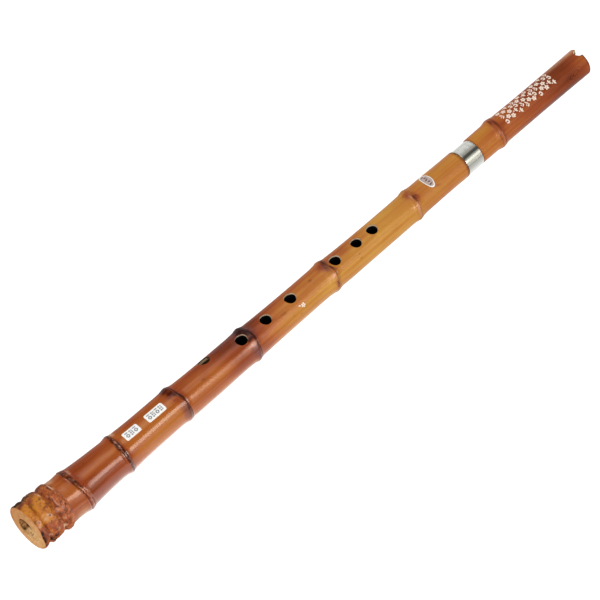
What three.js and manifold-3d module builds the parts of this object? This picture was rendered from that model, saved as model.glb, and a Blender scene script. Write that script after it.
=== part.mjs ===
// End-blown root-end bamboo flute in two sections, joined by a metal tenon and socket.
// Units are millimetres. The bore axis is the X axis: the root (foot) end is at -X, the mouth
// end at +X, and the in-line finger holes face +Z. The origin is on the bore axis, halfway
// between the foot face and the mouth rim.
// Lengths along the flute are written as distances from the foot face and moved by HALF_LENGTH.

import * as THREE from "three";
import { mergeVertices } from "three/addons/utils/BufferGeometryUtils.js";
import Module from "manifold-3d";

const wasm = await Module();
wasm.setup();

// ---------------------------------------------------------------- driving dimensions
const LENGTH = 740; // foot face to mouth rim
const HALF_LENGTH = LENGTH / 2;
const SIDES = 32; // facets round every tube
const GAP = 0.3; // clearance between neighbouring pieces

const FOOT_END = 566.1; // upper end of the foot section
const HEAD_SHOULDER = 586.8; // where the head section's full diameter starts

// Outer radius of the foot section: [distance from foot face, radius].
// The rises at 7, 19, 35, 59, 113, 188, 280, 386 and 501 are the bamboo's nodes.
const FOOT_PROFILE = [
  [0, 24.3],
  [2.5, 24.6],
  [6, 24.1],
  [10, 24.2],
  [13.5, 24.4],
  [19, 24.5],
  [21.5, 23.9],
  [25, 22.9],
  [28.5, 23.2],
  [32.5, 24.3],
  [36, 23.8],
  [40, 22.75],
  [45, 22.1],
  [51, 22.0],
  [55, 22.5],
  [58.5, 22.9],
  [62.5, 22.1],
  [70, 21.15],
  [80, 20.6],
  [93, 20.0],
  [105, 19.7],
  [108.5, 20.4],
  [112.5, 21.1],
  [116.2, 20.0],
  [127, 19.3],
  [141, 18.9],
  [160, 18.75],
  [181, 18.8],
  [186.5, 19.9],
  [190.5, 19.1],
  [195, 18.3],
  [210, 17.95],
  [232, 17.7],
  [250, 17.5],
  [273, 17.6],
  [278.5, 18.5],
  [281.5, 18.3],
  [286, 17.2],
  [300, 16.7],
  [330, 16.3],
  [360, 16.1],
  [378, 16.4],
  [383.5, 17.5],
  [387.5, 16.9],
  [392, 16.1],
  [406, 15.8],
  [425, 15.5],
  [460, 15.3],
  [492, 15.4],
  [496.5, 15.9],
  [500.5, 16.7],
  [504.5, 15.8],
  [509, 15.2],
  [530, 14.95],
  [550, 14.75],
  [566.1, 14.85],
];

// Outer radius of the head section above the metal band; the rise at 617 is its node.
const HEAD_PROFILE = [
  [586.8, 14.6],
  [606, 14.75],
  [612.5, 15.2],
  [617, 16.1],
  [621.5, 15.4],
  [626, 14.75],
  [645, 14.5],
  [672, 14.4],
  [700, 14.45],
  [722, 14.6],
  [740, 15.0],
];

// Sideways wander of the outer surface against the bore axis, as in a natural stem.
const WANDER = [
  [0, -1.6],
  [20, -1.4],
  [40, -0.8],
  [60, 0.1],
  [112, 0.6],
  [150, 0.3],
  [184, -0.05],
  [215, 0.7],
  [270, 0.3],
  [300, 0.4],
  [375, -0.1],
  [415, 0.45],
  [490, 0.2],
  [510, -0.3],
  [566.1, -0.2],
  [586.8, -0.35],
  [620, -0.5],
  [740, -0.4],
];
const WANDER_DIR = [-0.905, -0.426]; // unit direction of positive wander, in (Y, Z)

// Rootlet stubs stand on the root nodes: [distance, angle from +Y towards +Z in degrees, height].
const ROOT_RINGS = [
  [7, 0, 0.45],
  [19, 0.5, 0.5],
  [33, 0, 0.35],
];
const STUBS_PER_RING = 16;

// Bore of the foot section: [distance, radius]. It opens out into a small bell at the foot face.
const FOOT_BORE = [
  [-1, 12.3],
  [3, 12.1],
  [8, 11.2],
  [16, 9.6],
  [26, 8.8],
  [200, 8.85],
  [400, 9.1],
  [540.8, 9.3],
];

// Tenon tube, its seat in the foot section, and the socket in the head section.
const TENON_START = 541.1;
const TENON_END = 588.3;
const TENON_R = 10.2;
const TENON_WALL = 0.7;
const TENON_SEAT_START = 540.8;
const TENON_SEAT_R = 10.5;
const SOCKET_START = FOOT_END + 0.4; // open end of the head section's spigot
const SOCKET_END = 590.6;
const SOCKET_R = 11.3;
const LINER_R = 11.0;
const LINER_WALL = 0.5;
const SPIGOT_R = 13.0; // head section turned down to carry the band
const BAND_R = 13.95;
const BAND_WALL = 0.65;
const HEAD_BORE_START_R = 9.6;
const HEAD_BORE_END_R = 10.2;

// Tone holes: [name, distance, degrees from +Z towards +Y, radius].
const TONE_HOLES = [
  ["first", 445.0, 4, 5.3],
  ["second", 423.4, 4, 5.3],
  ["third", 394.8, 4, 5.4],
  ["fourth", 334.8, 4, 5.6],
  ["fifth", 301.7, 1.5, 5.7],
  ["sixth", 269.5, 0, 5.9],
  ["seventh", 230.5, 37, 5.9],
  ["thumb", 466.5, 180, 5.0],
  ["vent_left", 131, 148, 3.7],
  ["vent_right", 131, -148, 3.7],
];
const HOLE_CHAMFER = 0.9; // width and depth of the rounded rim, cut as a cone

// Blowing notch in the mouth rim.
const NOTCH_R = 4.9;
const NOTCH_DEPTH = 4.5;
const NOTCH_ANGLE = 12; // degrees from +Z towards +Y
const NOTCH_SLOPE = 20; // degrees by which it runs up towards the bore

// Stuck-on labels: plates along the top line and an oval round the stem.
const LABEL_THICKNESS = 0.35;
const LOWER_PLATE = { at: 128.0, length: 18.2, width: 9.3, corner: 1.3, angle: -1.5 };
const UPPER_PLATE = { at: 157.7, length: 22.2, width: 9.4, corner: 1.5, angle: -1.5 };
const OVAL_LABEL = { at: 522.8, length: 9.8, width: 20.4, angle: 12 };

// ---------------------------------------------------------------- helpers
const lerp = (table, x) => {
  if (x <= table[0][0]) return table[0][1];
  for (let i = 1; i < table.length; i++) {
    const [x1, y1] = table[i],
      [x0, y0] = table[i - 1];
    if (x <= x1) return y0 + ((y1 - y0) * (x - x0)) / (x1 - x0);
  }
  return table[table.length - 1][1];
};

// Lathe axis Y becomes the flute's X; the profile's points are (radius, distance).
const TO_X = new THREE.Matrix4().makeBasis(
  new THREE.Vector3(0, 0, 1),
  new THREE.Vector3(1, 0, 0),
  new THREE.Vector3(0, 1, 0),
);

function revolve(profile, segments = SIDES) {
  const points = profile.map(([x, r]) => new THREE.Vector2(r, x));
  return new THREE.LatheGeometry(points, segments).applyMatrix4(TO_X);
}

// A solid of revolution whose profile runs from the axis, along the wall and back to the axis.
const revolveSolid = (wall, segments) =>
  revolve(
    [[wall[0][0], 0], ...wall, [wall[wall.length - 1][0], 0]],
    segments,
  );

// A ring whose profile closes on itself.
const revolveRing = (x0, x1, rOut, rIn, segments) =>
  revolve(
    [
      [x0, rIn],
      [x0, rOut],
      [x1, rOut],
      [x1, rIn],
      [x0, rIn],
    ],
    segments,
  );

// Merges shared vertices and drops triangles that have collapsed, as at a lathe's poles.
function closed(geometry) {
  const bare = new THREE.BufferGeometry().setAttribute(
    "position",
    geometry.getAttribute("position").clone(),
  );
  if (geometry.index) bare.setIndex(geometry.index.clone());
  const merged = mergeVertices(bare, 1e-4);
  const index = merged.index.array,
    kept = [];
  for (let i = 0; i < index.length; i += 3) {
    const [a, b, c] = [index[i], index[i + 1], index[i + 2]];
    if (a !== b && b !== c && a !== c) kept.push(a, b, c);
  }
  merged.setIndex(kept);
  return merged;
}

function toSolid(geometry) {
  const g = closed(geometry);
  return new wasm.Manifold(
    new wasm.Mesh({
      numProp: 3,
      vertProperties: new Float32Array(g.getAttribute("position").array),
      triVerts: new Uint32Array(g.index.array),
    }),
  );
}

function toGeometry(solid) {
  const m = solid.getMesh(),
    n = m.numProp,
    v = new Float32Array((m.vertProperties.length / n) * 3);
  for (let i = 0; i < v.length / 3; i++)
    v.set(m.vertProperties.subarray(i * n, i * n + 3), i * 3);
  return new THREE.BufferGeometry()
    .setAttribute("position", new THREE.BufferAttribute(v, 3))
    .setIndex(new THREE.BufferAttribute(new Uint32Array(m.triVerts), 1));
}

// Moves each ring of vertices sideways by the stem's wander.
function wander(geometry, shape) {
  const p = geometry.getAttribute("position");
  for (let i = 0; i < p.count; i++) {
    const x = p.getX(i);
    let y = p.getY(i),
      z = p.getZ(i);
    if (shape) [y, z] = shape(x, y, z);
    const d = lerp(WANDER, x);
    p.setXYZ(i, x, y + d * WANDER_DIR[0], z + d * WANDER_DIR[1]);
  }
  return geometry;
}

// Rootlet stubs raise every other facet corner of the root rings.
function rootlets(x, y, z) {
  const r = Math.hypot(y, z);
  if (r < 1 || x < 0.5) return [y, z];
  const a = Math.atan2(z, y);
  let rise = 0;
  for (const [at, phase, height] of ROOT_RINGS) {
    const near = Math.max(0, 1 - Math.abs(x - at) / 6);
    rise +=
      height * near * Math.cos(STUBS_PER_RING * a + phase * 2 * Math.PI) - height * near;
  }
  const k = (r + rise) / r;
  return [y * k, z * k];
}

// Cutting tool for a tone hole: a straight hole with a cone at the outer surface.
function holeTool(distance, degrees, radius, surface) {
  const top = surface - 0.15;
  const tool = new THREE.LatheGeometry(
    [
      [0, 3],
      [radius, 3],
      [radius, top - HOLE_CHAMFER],
      [radius + HOLE_CHAMFER, top],
      [radius + HOLE_CHAMFER, surface + 6],
      [0, surface + 6],
    ].map(([r, h]) => new THREE.Vector2(r, h)),
    20,
  );
  tool.rotateX(Math.PI / 2); // lathe axis Y becomes +Z
  tool.rotateX((-degrees * Math.PI) / 180); // from +Z towards +Y
  tool.translate(distance, 0, 0);
  return toSolid(tool);
}

// A thin shell that follows the stem's surface, cut to an outline seen along its normal.
function label(outline, at, reach, degrees, name, colour) {
  const table = [];
  for (const x of [at - reach, at, at + reach])
    table.push([x, lerp(FOOT_PROFILE, x) + GAP]);
  const shellProfile = [
    ...table,
    ...table
      .slice()
      .reverse()
      .map(([x, r]) => [x, r + LABEL_THICKNESS]),
    table[0],
  ].reverse();
  const shell = toSolid(wander(revolve(shellProfile, 80)));
  const prism = new THREE.ExtrudeGeometry(outline, {
    depth: 30,
    bevelEnabled: false,
    curveSegments: 10,
  });
  prism.rotateX((-degrees * Math.PI) / 180);
  prism.translate(at, 0, 0);
  const made = toGeometry(shell.intersect(toSolid(prism)));
  return piece(name, made, colour);
}

function roundedRect({ length, width, corner: c }) {
  const s = new THREE.Shape(),
    a = length / 2,
    b = width / 2;
  s.moveTo(-a + c, -b);
  s.lineTo(a - c, -b);
  s.absarc(a - c, -b + c, c, -Math.PI / 2, 0, false);
  s.lineTo(a, b - c);
  s.absarc(a - c, b - c, c, 0, Math.PI / 2, false);
  s.lineTo(-a + c, b);
  s.absarc(-a + c, b - c, c, Math.PI / 2, Math.PI, false);
  s.lineTo(-a, -b + c);
  s.absarc(-a + c, -b + c, c, Math.PI, 1.5 * Math.PI, false);
  return s;
}

function ellipse({ length, width }) {
  const s = new THREE.Shape();
  s.absellipse(0, 0, length / 2, width / 2, 0, 2 * Math.PI, false, 0);
  return s;
}

const MATERIALS = {
  bamboo: { color: 0xb8692a, roughness: 0.28, metalness: 0 },
  bambooDark: { color: 0x9a4d22, roughness: 0.28, metalness: 0 },
  silver: { color: 0xcfcfc9, roughness: 0.25, metalness: 0.9 },
  tube: { color: 0xb9b7ae, roughness: 0.35, metalness: 0.9 },
  label: { color: 0xf2f0ea, roughness: 0.4, metalness: 0 },
};

function piece(name, geometry, colour) {
  const g = geometry.index ? geometry.toNonIndexed() : geometry.clone();
  g.computeVertexNormals();
  const mesh = new THREE.Mesh(
    g,
    new THREE.MeshStandardMaterial({ ...MATERIALS[colour], flatShading: true }),
  );
  mesh.name = name;
  return mesh;
}

// ---------------------------------------------------------------- foot section
let foot = toSolid(wander(revolveSolid(FOOT_PROFILE), rootlets));
foot = foot.subtract(toSolid(revolveSolid(FOOT_BORE)));
foot = foot.subtract(
  toSolid(
    revolveSolid([
      [TENON_SEAT_START, TENON_SEAT_R],
      [FOOT_END + 1, TENON_SEAT_R],
    ]),
  ),
);
for (const [, distance, degrees, radius] of TONE_HOLES)
  foot = foot.subtract(
    holeTool(distance, degrees, radius, lerp(FOOT_PROFILE, distance)),
  );
const footSection = piece("foot_section", toGeometry(foot), "bamboo");

// ---------------------------------------------------------------- head section
const headWall = [
  [SOCKET_START, SPIGOT_R],
  [HEAD_SHOULDER, SPIGOT_R],
  ...HEAD_PROFILE,
];
let head = toSolid(
  wander(revolveSolid(headWall), (x, y, z) => {
    // the spigot is turned true to the bore axis, so its wander is taken back
    const turned = Math.hypot(y, z) < SPIGOT_R + 0.01;
    const d = turned ? lerp(WANDER, x) : 0;
    return [y - d * WANDER_DIR[0], z - d * WANDER_DIR[1]];
  }),
);
head = head.subtract(
  toSolid(
    revolveSolid([
      [SOCKET_START - 1, SOCKET_R],
      [SOCKET_END, SOCKET_R],
    ]),
  ),
);
head = head.subtract(
  toSolid(
    revolveSolid([
      [SOCKET_END - 1, HEAD_BORE_START_R],
      [LENGTH + 1, HEAD_BORE_END_R],
    ]),
  ),
);
{
  const outer = lerp(HEAD_PROFILE, LENGTH);
  const notch = new THREE.CylinderGeometry(NOTCH_R, NOTCH_R, 20, 28);
  notch.rotateX(Math.PI / 2); // cylinder axis along Z
  notch.rotateY((-NOTCH_SLOPE * Math.PI) / 180); // inner end higher (towards +X) than the outer
  notch.translate(LENGTH - NOTCH_DEPTH + NOTCH_R, 0, outer);
  notch.rotateX((-NOTCH_ANGLE * Math.PI) / 180);
  head = head.subtract(toSolid(notch));
}
const headSection = piece("head_section", toGeometry(head), "bambooDark");

// ---------------------------------------------------------------- metal joint
const metalBand = piece(
  "metal_band",
  revolveRing(FOOT_END + GAP, HEAD_SHOULDER - GAP, BAND_R, BAND_R - BAND_WALL),
  "silver",
);
const socketLiner = piece(
  "socket_liner",
  revolveRing(SOCKET_START, SOCKET_END - GAP, LINER_R, LINER_R - LINER_WALL),
  "tube",
);
const tenonTube = piece(
  "tenon_tube",
  revolveRing(TENON_START, TENON_END, TENON_R, TENON_R - TENON_WALL),
  "tube",
);

// ---------------------------------------------------------------- labels
const lowerPlate = label(
  roundedRect(LOWER_PLATE),
  LOWER_PLATE.at,
  13,
  LOWER_PLATE.angle,
  "lower_plate_label",
  "label",
);
const upperPlate = label(
  roundedRect(UPPER_PLATE),
  UPPER_PLATE.at,
  15,
  UPPER_PLATE.angle,
  "upper_plate_label",
  "label",
);
const ovalLabel = label(
  ellipse(OVAL_LABEL),
  OVAL_LABEL.at,
  8,
  OVAL_LABEL.angle,
  "oval_label",
  "label",
);

// ---------------------------------------------------------------- assembly
const footGroup = new THREE.Group();
footGroup.add(footSection, lowerPlate, upperPlate, ovalLabel);

const tenonGroup = new THREE.Group();
tenonGroup.add(tenonTube);

const headGroup = new THREE.Group();
headGroup.add(headSection, metalBand, socketLiner);

const flute = new THREE.Group();
flute.add(footGroup, tenonGroup, headGroup);
for (const part of flute.children) part.position.x = -HALF_LENGTH;

export default flute;
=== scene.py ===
"""Looks of an end-blown root-end bamboo flute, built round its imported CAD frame.

Lengths in the shape code are millimetres from the foot face, as in the CAD source, and become
metres in the row frame (bore along X, origin half-way) when a mesh is made. Angles round the stem
are given as phi: degrees from the line that faces up and to the -Y side, 25.2 degrees from +Z,
growing towards -Y and down.
"""

import math

import bmesh
import bpy
import numpy as np
from mathutils import Matrix, Vector


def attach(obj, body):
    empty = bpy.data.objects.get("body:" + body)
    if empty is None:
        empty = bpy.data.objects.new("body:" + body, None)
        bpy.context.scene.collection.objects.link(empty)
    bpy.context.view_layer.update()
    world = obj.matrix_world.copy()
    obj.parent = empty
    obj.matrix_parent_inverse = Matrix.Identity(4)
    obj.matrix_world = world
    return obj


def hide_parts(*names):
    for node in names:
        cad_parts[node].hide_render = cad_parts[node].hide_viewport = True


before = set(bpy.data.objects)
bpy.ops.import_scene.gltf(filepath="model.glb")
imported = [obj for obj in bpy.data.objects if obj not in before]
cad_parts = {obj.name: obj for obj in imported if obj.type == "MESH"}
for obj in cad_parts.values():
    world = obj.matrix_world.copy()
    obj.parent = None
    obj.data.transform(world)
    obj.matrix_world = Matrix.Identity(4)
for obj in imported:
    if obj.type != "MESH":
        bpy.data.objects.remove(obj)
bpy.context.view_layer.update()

MM = 0.001
HALF = 370.0
TH0 = math.radians(115.2)  # phi 0 as an angle from +Y towards +Z
SIDES = 160


# ------------------------------------------------------------------ small maths
def pchip(table):
    """Smooth curve through the table's points, without overshoot."""
    t = np.array(table, float)
    x, y = t[:, 0], t[:, 1]
    h = np.diff(x)
    d = np.diff(y) / h
    m = np.zeros(len(x))
    for i in range(1, len(x) - 1):
        if d[i - 1] * d[i] > 0:
            w1, w2 = 2 * h[i] + h[i - 1], h[i] + 2 * h[i - 1]
            m[i] = (w1 + w2) / (w1 / d[i - 1] + w2 / d[i])
    m[0], m[-1] = d[0], d[-1]

    def f(q):
        q = np.clip(np.asarray(q, float), x[0], x[-1])
        i = np.clip(np.searchsorted(x, q) - 1, 0, len(x) - 2)
        s = (q - x[i]) / h[i]
        return (
            y[i] * (1 + 2 * s) * (1 - s) ** 2
            + h[i] * m[i] * s * (1 - s) ** 2
            + y[i + 1] * s * s * (3 - 2 * s)
            + h[i] * m[i + 1] * s * s * (s - 1)
        )

    return f


def smooth(a, b, x):
    t = np.clip((np.asarray(x, float) - a) / (b - a), 0, 1)
    return t * t * (3 - 2 * t)


def wrap(a):
    return (np.asarray(a) + math.pi) % (2 * math.pi) - math.pi


class Waves:
    """Smooth noise round and along the stem, about -1 to 1, periodic round it."""

    def __init__(self, seed, n=14, round_max=6, along=0.05):
        r = np.random.RandomState(seed)
        self.m = r.randint(1, round_max + 1, n)
        self.q = r.uniform(-along, along, n)
        self.p = r.uniform(0, 2 * math.pi, n)
        self.a = r.uniform(0.5, 1, n)
        self.a /= math.sqrt((self.a**2).sum() / 2) * 2

    def __call__(self, x, th):
        out = 0.0
        for m, q, p, a in zip(self.m, self.q, self.p, self.a):
            out = out + a * np.cos(m * th + q * x + p)
        return out


# ------------------------------------------------------------------ shape of the stem
FOOT_END = 566.1
SHOULDER = 586.8
LENGTH = 740.0

# Radius between the nodes: [distance from the foot face, radius]
STEM = pchip(
    [
        [45, 22.05], [50, 21.9], [58, 21.75], [64, 21.48], [70, 21.03], [80, 20.43], [93, 19.88],
        [104, 19.58], [112, 19.53], [120, 19.48], [127, 19.18], [141, 18.78], [160, 18.58], [178, 18.38],
        [187, 18.2], [195, 18.1], [210, 17.75], [232, 17.5], [250, 17.25], [265, 17.1], [279, 16.95],
        [290, 16.7], [300, 16.45], [330, 16.05], [360, 15.85], [374, 15.85], [384, 15.8], [393, 15.75],
        [406, 15.6], [425, 15.3], [460, 15.1], [488, 15.05], [500, 14.95], [512, 14.9], [530, 14.72],
        [550, 14.56], [566.1, 14.6], [586.8, 14.3], [605, 14.4], [617, 14.35], [628, 14.35],
        [645, 14.22], [672, 14.1], [700, 14.23], [722, 14.3], [733, 14.45], [740, 14.45],
    ]
)

# Root end up to the first smooth internode, at the nominal places of its grooves
ROOT = pchip(
    [
        [0, 23.9], [1.2, 24.0], [3.5, 23.9], [6.2, 23.6], [8.2, 23.1], [9.2, 22.3], [9.9, 21.6],
        [10.5, 21.9], [11.4, 23.1], [13.0, 23.75], [16, 24.0], [19, 23.9], [21.4, 23.5], [23.4, 22.7],
        [24.6, 21.7], [25.4, 21.25], [26.2, 21.6], [27.6, 22.8], [29.8, 23.6], [32.4, 23.85],
        [34.6, 23.7], [36.1, 23.3], [36.8, 22.5], [37.7, 22.25], [40, 22.15], [43, 21.95],
        [46, 21.85], [50, 21.75],
    ]
)

WANDER = pchip(
    [
        [0, -1.9], [20, -1.6], [30, -1.15], [40, -0.9], [50, -0.45], [64, 0.25], [97, 0.35], [112, 0.7],
        [155, 0.25], [184, -0.1], [197, 0.75], [215, 0.8], [270, 0.3], [290, 0.5], [340, 0.25],
        [375, -0.1], [410, 0.5], [470, 0.25], [503, -0.25], [530, -0.45], [566.1, -0.25],
        [586.8, -0.45], [620, -0.7], [660, -0.5], [740, -0.5],
    ]
)

# Nodes: centre, lean (how far the ring lies off the centre at an angle phi, from phi -180 to 180), rise
# table, grooves [place from centre, depth, half width] and dark rings [place, half width, strength]
NODES = [
    dict(at=57.2, lean=[[-180, -1], [-110, -1.4], [-85, -2.1], [-58, -2.6], [-40, -3.5], [-25, -3.2], [-12, -2.7], [0, -2.1], [12, -1.0],
                        [25, -0.1], [40, 0.4], [58, 1.0], [85, 1.9], [120, 0.8], [180, -1]],
         rise=[[-9, 0], [-6, 0.3], [-3.2, 0.75], [-0.8, 1.1], [1.6, 1.0], [3.4, 0.5], [5.6, 0.15], [9, 0]],
         grooves=[[-2.4, 0.5, 0.7], [1.4, 0.5, 0.6]], dark=[[-2.2, 0.6, 0.4], [1.9, 0.6, 0.35]]),
    dict(at=111.3, lean=[[-180, -0.5], [-110, -0.2], [-80, -0.3], [-66, -0.6], [-45, -1.4], [-28, -1.8], [-14, -2.5], [0, -2.8], [14, -2.5],
                         [28, -2.4], [45, -1.9], [70, -1.0], [85, -0.2], [120, 0], [180, -0.5]],
         rise=[[-9, 0], [-5.5, 0.18], [-3.2, 0.7], [-1.3, 1.3], [0.9, 1.35], [2.6, 0.8], [4.6, 0.3], [8, 0.08], [12, 0]],
         grooves=[[-1.5, 0.35, 0.6], [1.9, 0.5, 0.6]], dark=[[0.15, 1.9, 0.92]]),
    dict(at=187.0, lean=[[-180, -1], [-120, -1.6], [-85, -2.4], [-48, -3.2], [-30, -2.4], [-14, -1.5], [0, -0.8], [14, -0.9], [30, -1.2],
                         [48, -1.1], [64, -1.2], [85, -0.8], [120, -0.8], [180, -1]],
         rise=[[-12, 0], [-8, 0.12], [-5, 0.42], [-2.8, 0.85], [-0.6, 1.35], [1.0, 1.35], [2.8, 0.9], [4.6, 0.25], [7, 0]],
         grooves=[[1.9, 0.55, 0.6]], dark=[[1.8, 0.9, 0.85], [0.4, 1.6, 0.35]]),
    dict(at=279.6, lean=[[-180, -1.6], [-110, -1.6], [-76, -1.7], [-54, -2.3], [-33, -1.1], [-16, -0.7], [-6, -0.5], [0, -0.9], [16, -1.8],
                         [33, -2.5], [54, -2.8], [76, -2.7], [120, -2.2], [180, -1.6]],
         rise=[[-14, 0], [-9, 0.25], [-5.5, 0.42], [-3.4, 0.8], [-1.6, 1.3], [0, 1.55], [1.8, 1.25], [3.6, 0.6], [5.6, 0.18], [8, 0]],
         grooves=[[2.2, 0.5, 0.6]], dark=[[2.0, 0.9, 0.75], [0.4, 2.0, 0.3]]),
    dict(at=384.2, lean=[[-180, 0], [-110, 0], [-62, 0.2], [-36, -0.4], [-17, 0.2], [0, 0.7], [17, 0.0], [36, -1.2], [62, -1.0], [85, -0.4], [130, 0], [180, 0]],
         rise=[[-13, 0], [-9, 0.12], [-6.5, 0.42], [-4.6, 0.6], [-2.6, 1.0], [-0.6, 1.45], [1.0, 1.45], [2.8, 0.95], [5, 0.35], [7.5, 0.06], [10, 0]],
         grooves=[[2.2, 0.4, 0.6]], dark=[[1.7, 0.8, 0.28]]),
    dict(at=499.6, lean=[[-180, -0.6], [-110, 0.4], [-85, 0.6], [-68, 0.3], [-38, -1.0], [-11, -1.2], [18, -2.4], [38, -3.5], [68, -3.4], [85, -2.4], [130, -1.2], [180, -0.6]],
         rise=[[-14, 0], [-9, 0.12], [-5.8, 0.3], [-3.6, 0.75], [-1.6, 1.2], [0.2, 1.45], [2.2, 1.1], [4.4, 0.6], [6.6, 0.25], [9.5, 0]],
         grooves=[[1.9, 0.4, 0.5], [-2.0, 0.2, 0.5]], dark=[[1.7, 0.6, 0.3]]),
    dict(at=616.8, lean=[[-180, -0.5], [-110, 0.6], [-85, 0.9], [-60, 0.4], [-41, -0.5], [-19, -0.8], [0, -1.1], [19, -1.4], [41, -1.4], [70, -1.2], [85, -0.9], [130, -0.7], [180, -0.5]],
         rise=[[-9, 0], [-6.6, 0.1], [-4.8, 0.5], [-2.6, 1.0], [-0.6, 1.35], [1.2, 1.35], [3.2, 0.95], [5.2, 0.45], [7.2, 0.12], [10, 0]],
         grooves=[[1.9, 0.45, 0.55], [-2.0, 0.3, 0.55]], dark=[[1.9, 0.7, 0.45], [-2.0, 0.6, 0.28]]),
]
for n in NODES:
    n["f"] = pchip(n["rise"])
    n["l"] = pchip(n["lean"])
    n["w"] = Waves(int(n["at"]), n=8, round_max=9, along=0.0)
    n["w2"] = Waves(int(n["at"]) + 1, n=8, round_max=7, along=0.0)


def node_place(n, th):
    """Where the node's centre lies at that angle."""
    return n["at"] + n["l"](np.degrees(wrap(th - TH0))) + 0.16 * n["w"](0, th)


LOW = Waves(11, n=18, round_max=5, along=0.035)
FINE = Waves(12, n=40, round_max=26, along=0.25)
ROOT_LOW = Waves(13, n=26, round_max=7, along=0.22)
ROOT_FINE = Waves(14, n=60, round_max=28, along=1.1)

# Rootlet scars on the root: (distance, phi, radius, height, kind).
# kinds: scar = pale disc with a dark eye, knob = dark burnt stump, lump = bare bump, pit = small hole
SCARS = [
    (4.0, 3, 2.3, 0.6, "scar"), (1.5, -5, 1.5, 0.3, "knob"), (15.9, 5, 1.9, 0.55, "scar"), (9.2, -40, 1.7, 0.45, "knob"),
    (11.4, -35, 1.6, 0.4, "lump"), (12.0, -51, 2.4, 0.7, "lump"), (13.4, 35, 2.1, 0.6, "lump"), (16.6, 46, 1.7, 0.5, "scar"),
    (10.0, 72, 2.4, 0.9, "knob"), (13.8, 60, 2.0, 0.6, "knob"), (15.0, -24, 1.5, 0.4, "lump"), (19.1, -38, 1.3, 0.35, "pit"),
    (18.8, 38, 1.4, 0.4, "lump"), (18.9, 10, 1.3, 0.4, "lump"), (4.3, -13, 1.8, 0.35, "lump"), (5.0, 22, 2.2, 0.5, "lump"),
    (30.1, 9, 1.8, 0.6, "scar"), (34.2, 7, 1.1, 0.3, "pit"), (31.8, -4, 1.1, 0.3, "pit"), (24.6, 4, 1.8, 0.5, "lump"),
    (28.1, -31, 1.1, 0.35, "pit"), (25.8, -24, 1.1, 0.35, "pit"), (26.2, -33, 1.4, 0.45, "lump"), (29.0, 36, 1.7, 0.5, "lump"),
    (26.6, 32, 1.4, 0.4, "scar"), (23.3, 42, 1.6, 0.5, "lump"), (33.0, -21, 1.7, 0.5, "lump"), (32.2, -42, 1.9, 0.55, "lump"),
    (33.2, -62, 1.6, 0.5, "knob"), (21.8, -56, 1.4, 0.5, "scar"), (18.0, -70, 2.2, 0.7, "knob"), (13.9, -84, 2.3, 0.6, "knob"),
    (4.2, -52, 1.8, 0.4, "lump"), (5.6, -78, 2.3, 0.5, "knob"), (19.6, -10, 1.2, 0.35, "lump"), (28.9, 58, 1.5, 0.45, "pit"),
    (33.4, 48, 1.4, 0.45, "scar"), (29.3, 22, 1.3, 0.35, "pit"), (22.3, 22, 1.3, 0.35, "lump"), (28.4, -3, 1.0, 0.3, "lump"),
    (7.9, 47, 1.5, 0.45, "scar"), (24.6, 61, 1.6, 0.45, "lump"), (21.0, -22, 1.4, 0.4, "pit"),
]
_r = np.random.RandomState(5)
for ring, count, spread in ((4.6, 9, 1.6), (13.2, 11, 1.3), (19.2, 11, 1.4), (30.0, 12, 1.2), (34.0, 11, 1.0)):
    for i in range(count):
        phi = 92 + (i + 0.5) * 176 / count + _r.uniform(-5, 5)
        kind = ("scar", "knob", "lump", "scar", "lump", "pit")[_r.randint(6)]
        SCARS.append((ring + _r.uniform(-spread, spread), phi, _r.uniform(1.3, 2.3), _r.uniform(0.4, 0.8), kind))

# Beads: undeveloped rootlets in a ring just inside a node's groove
BEADS = []
for at, node, gap, rad, h, seed in ((57.2, 0, 3.9, 1.25, 0.5, 21), (111.3, 1, 3.3, 0.95, 0.32, 22), (35.0, None, 5.2, 1.2, 0.3, 23)):
    rr = np.random.RandomState(seed)
    n = int(2 * math.pi * float(STEM(at)) / gap)
    for i in range(n):
        phi = 360.0 * (i + rr.uniform(-0.25, 0.25)) / n
        if rr.uniform() < 0.12:
            continue
        lean = 0.0 if node is None else float(NODES[node]["l"](phi if phi < 180 else phi - 360))
        x = at + lean + (0.75 if i % 2 else -0.95) + rr.uniform(-0.3, 0.3)
        BEADS.append((x, phi, rad * rr.uniform(0.75, 1.15), h * rr.uniform(0.6, 1.2)))


def blob(x, th, r, x0, phi0, rad):
    """Distance from a spot on the surface, in units of the spot's radius."""
    a = wrap(th - TH0 - math.radians(phi0)) * r
    return np.sqrt((x - x0) ** 2 + a**2) / rad


def groove_shift(x, th):
    """The root's grooves run skew round it. Returns x moved to the groove's nominal place."""
    phi = th - TH0
    ab = 8.2 - 1.45 * np.sin(phi) - 1.25 * np.cos(2 * phi) + 0.35 * np.sin(5 * phi + 1) - 9.9
    bc = 24.2 - 2.0 * np.cos(2 * phi) - 0.5 * np.sin(phi) + 0.4 * np.sin(4 * phi + 2) - 25.4
    ce = 0.3 * np.sin(3 * phi + 0.6) + 0.35 * np.sin(7 * phi) - 0.3 - 0.9 * np.cos(phi)
    s = np.interp(x, [0, 3], [0, 1]) * 0
    s = np.where(x < 9, ab * smooth(0, 8, x), s)
    s = np.where((x >= 9) & (x < 24), ab + (bc - ab) * smooth(9, 24, x), s)
    s = np.where((x >= 24) & (x < 36), bc + (ce - bc) * smooth(24, 36, x), s)
    s = np.where(x >= 36, ce * (1 - smooth(36, 46, x)), s)
    return x - s


def edge_round(x, end, radius):
    """How much a rounded edge takes off the outer radius near an end face."""
    t = np.clip(radius - np.abs(x - end), 0, radius)
    return radius - np.sqrt(np.maximum(radius**2 - t**2, 0))


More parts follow.
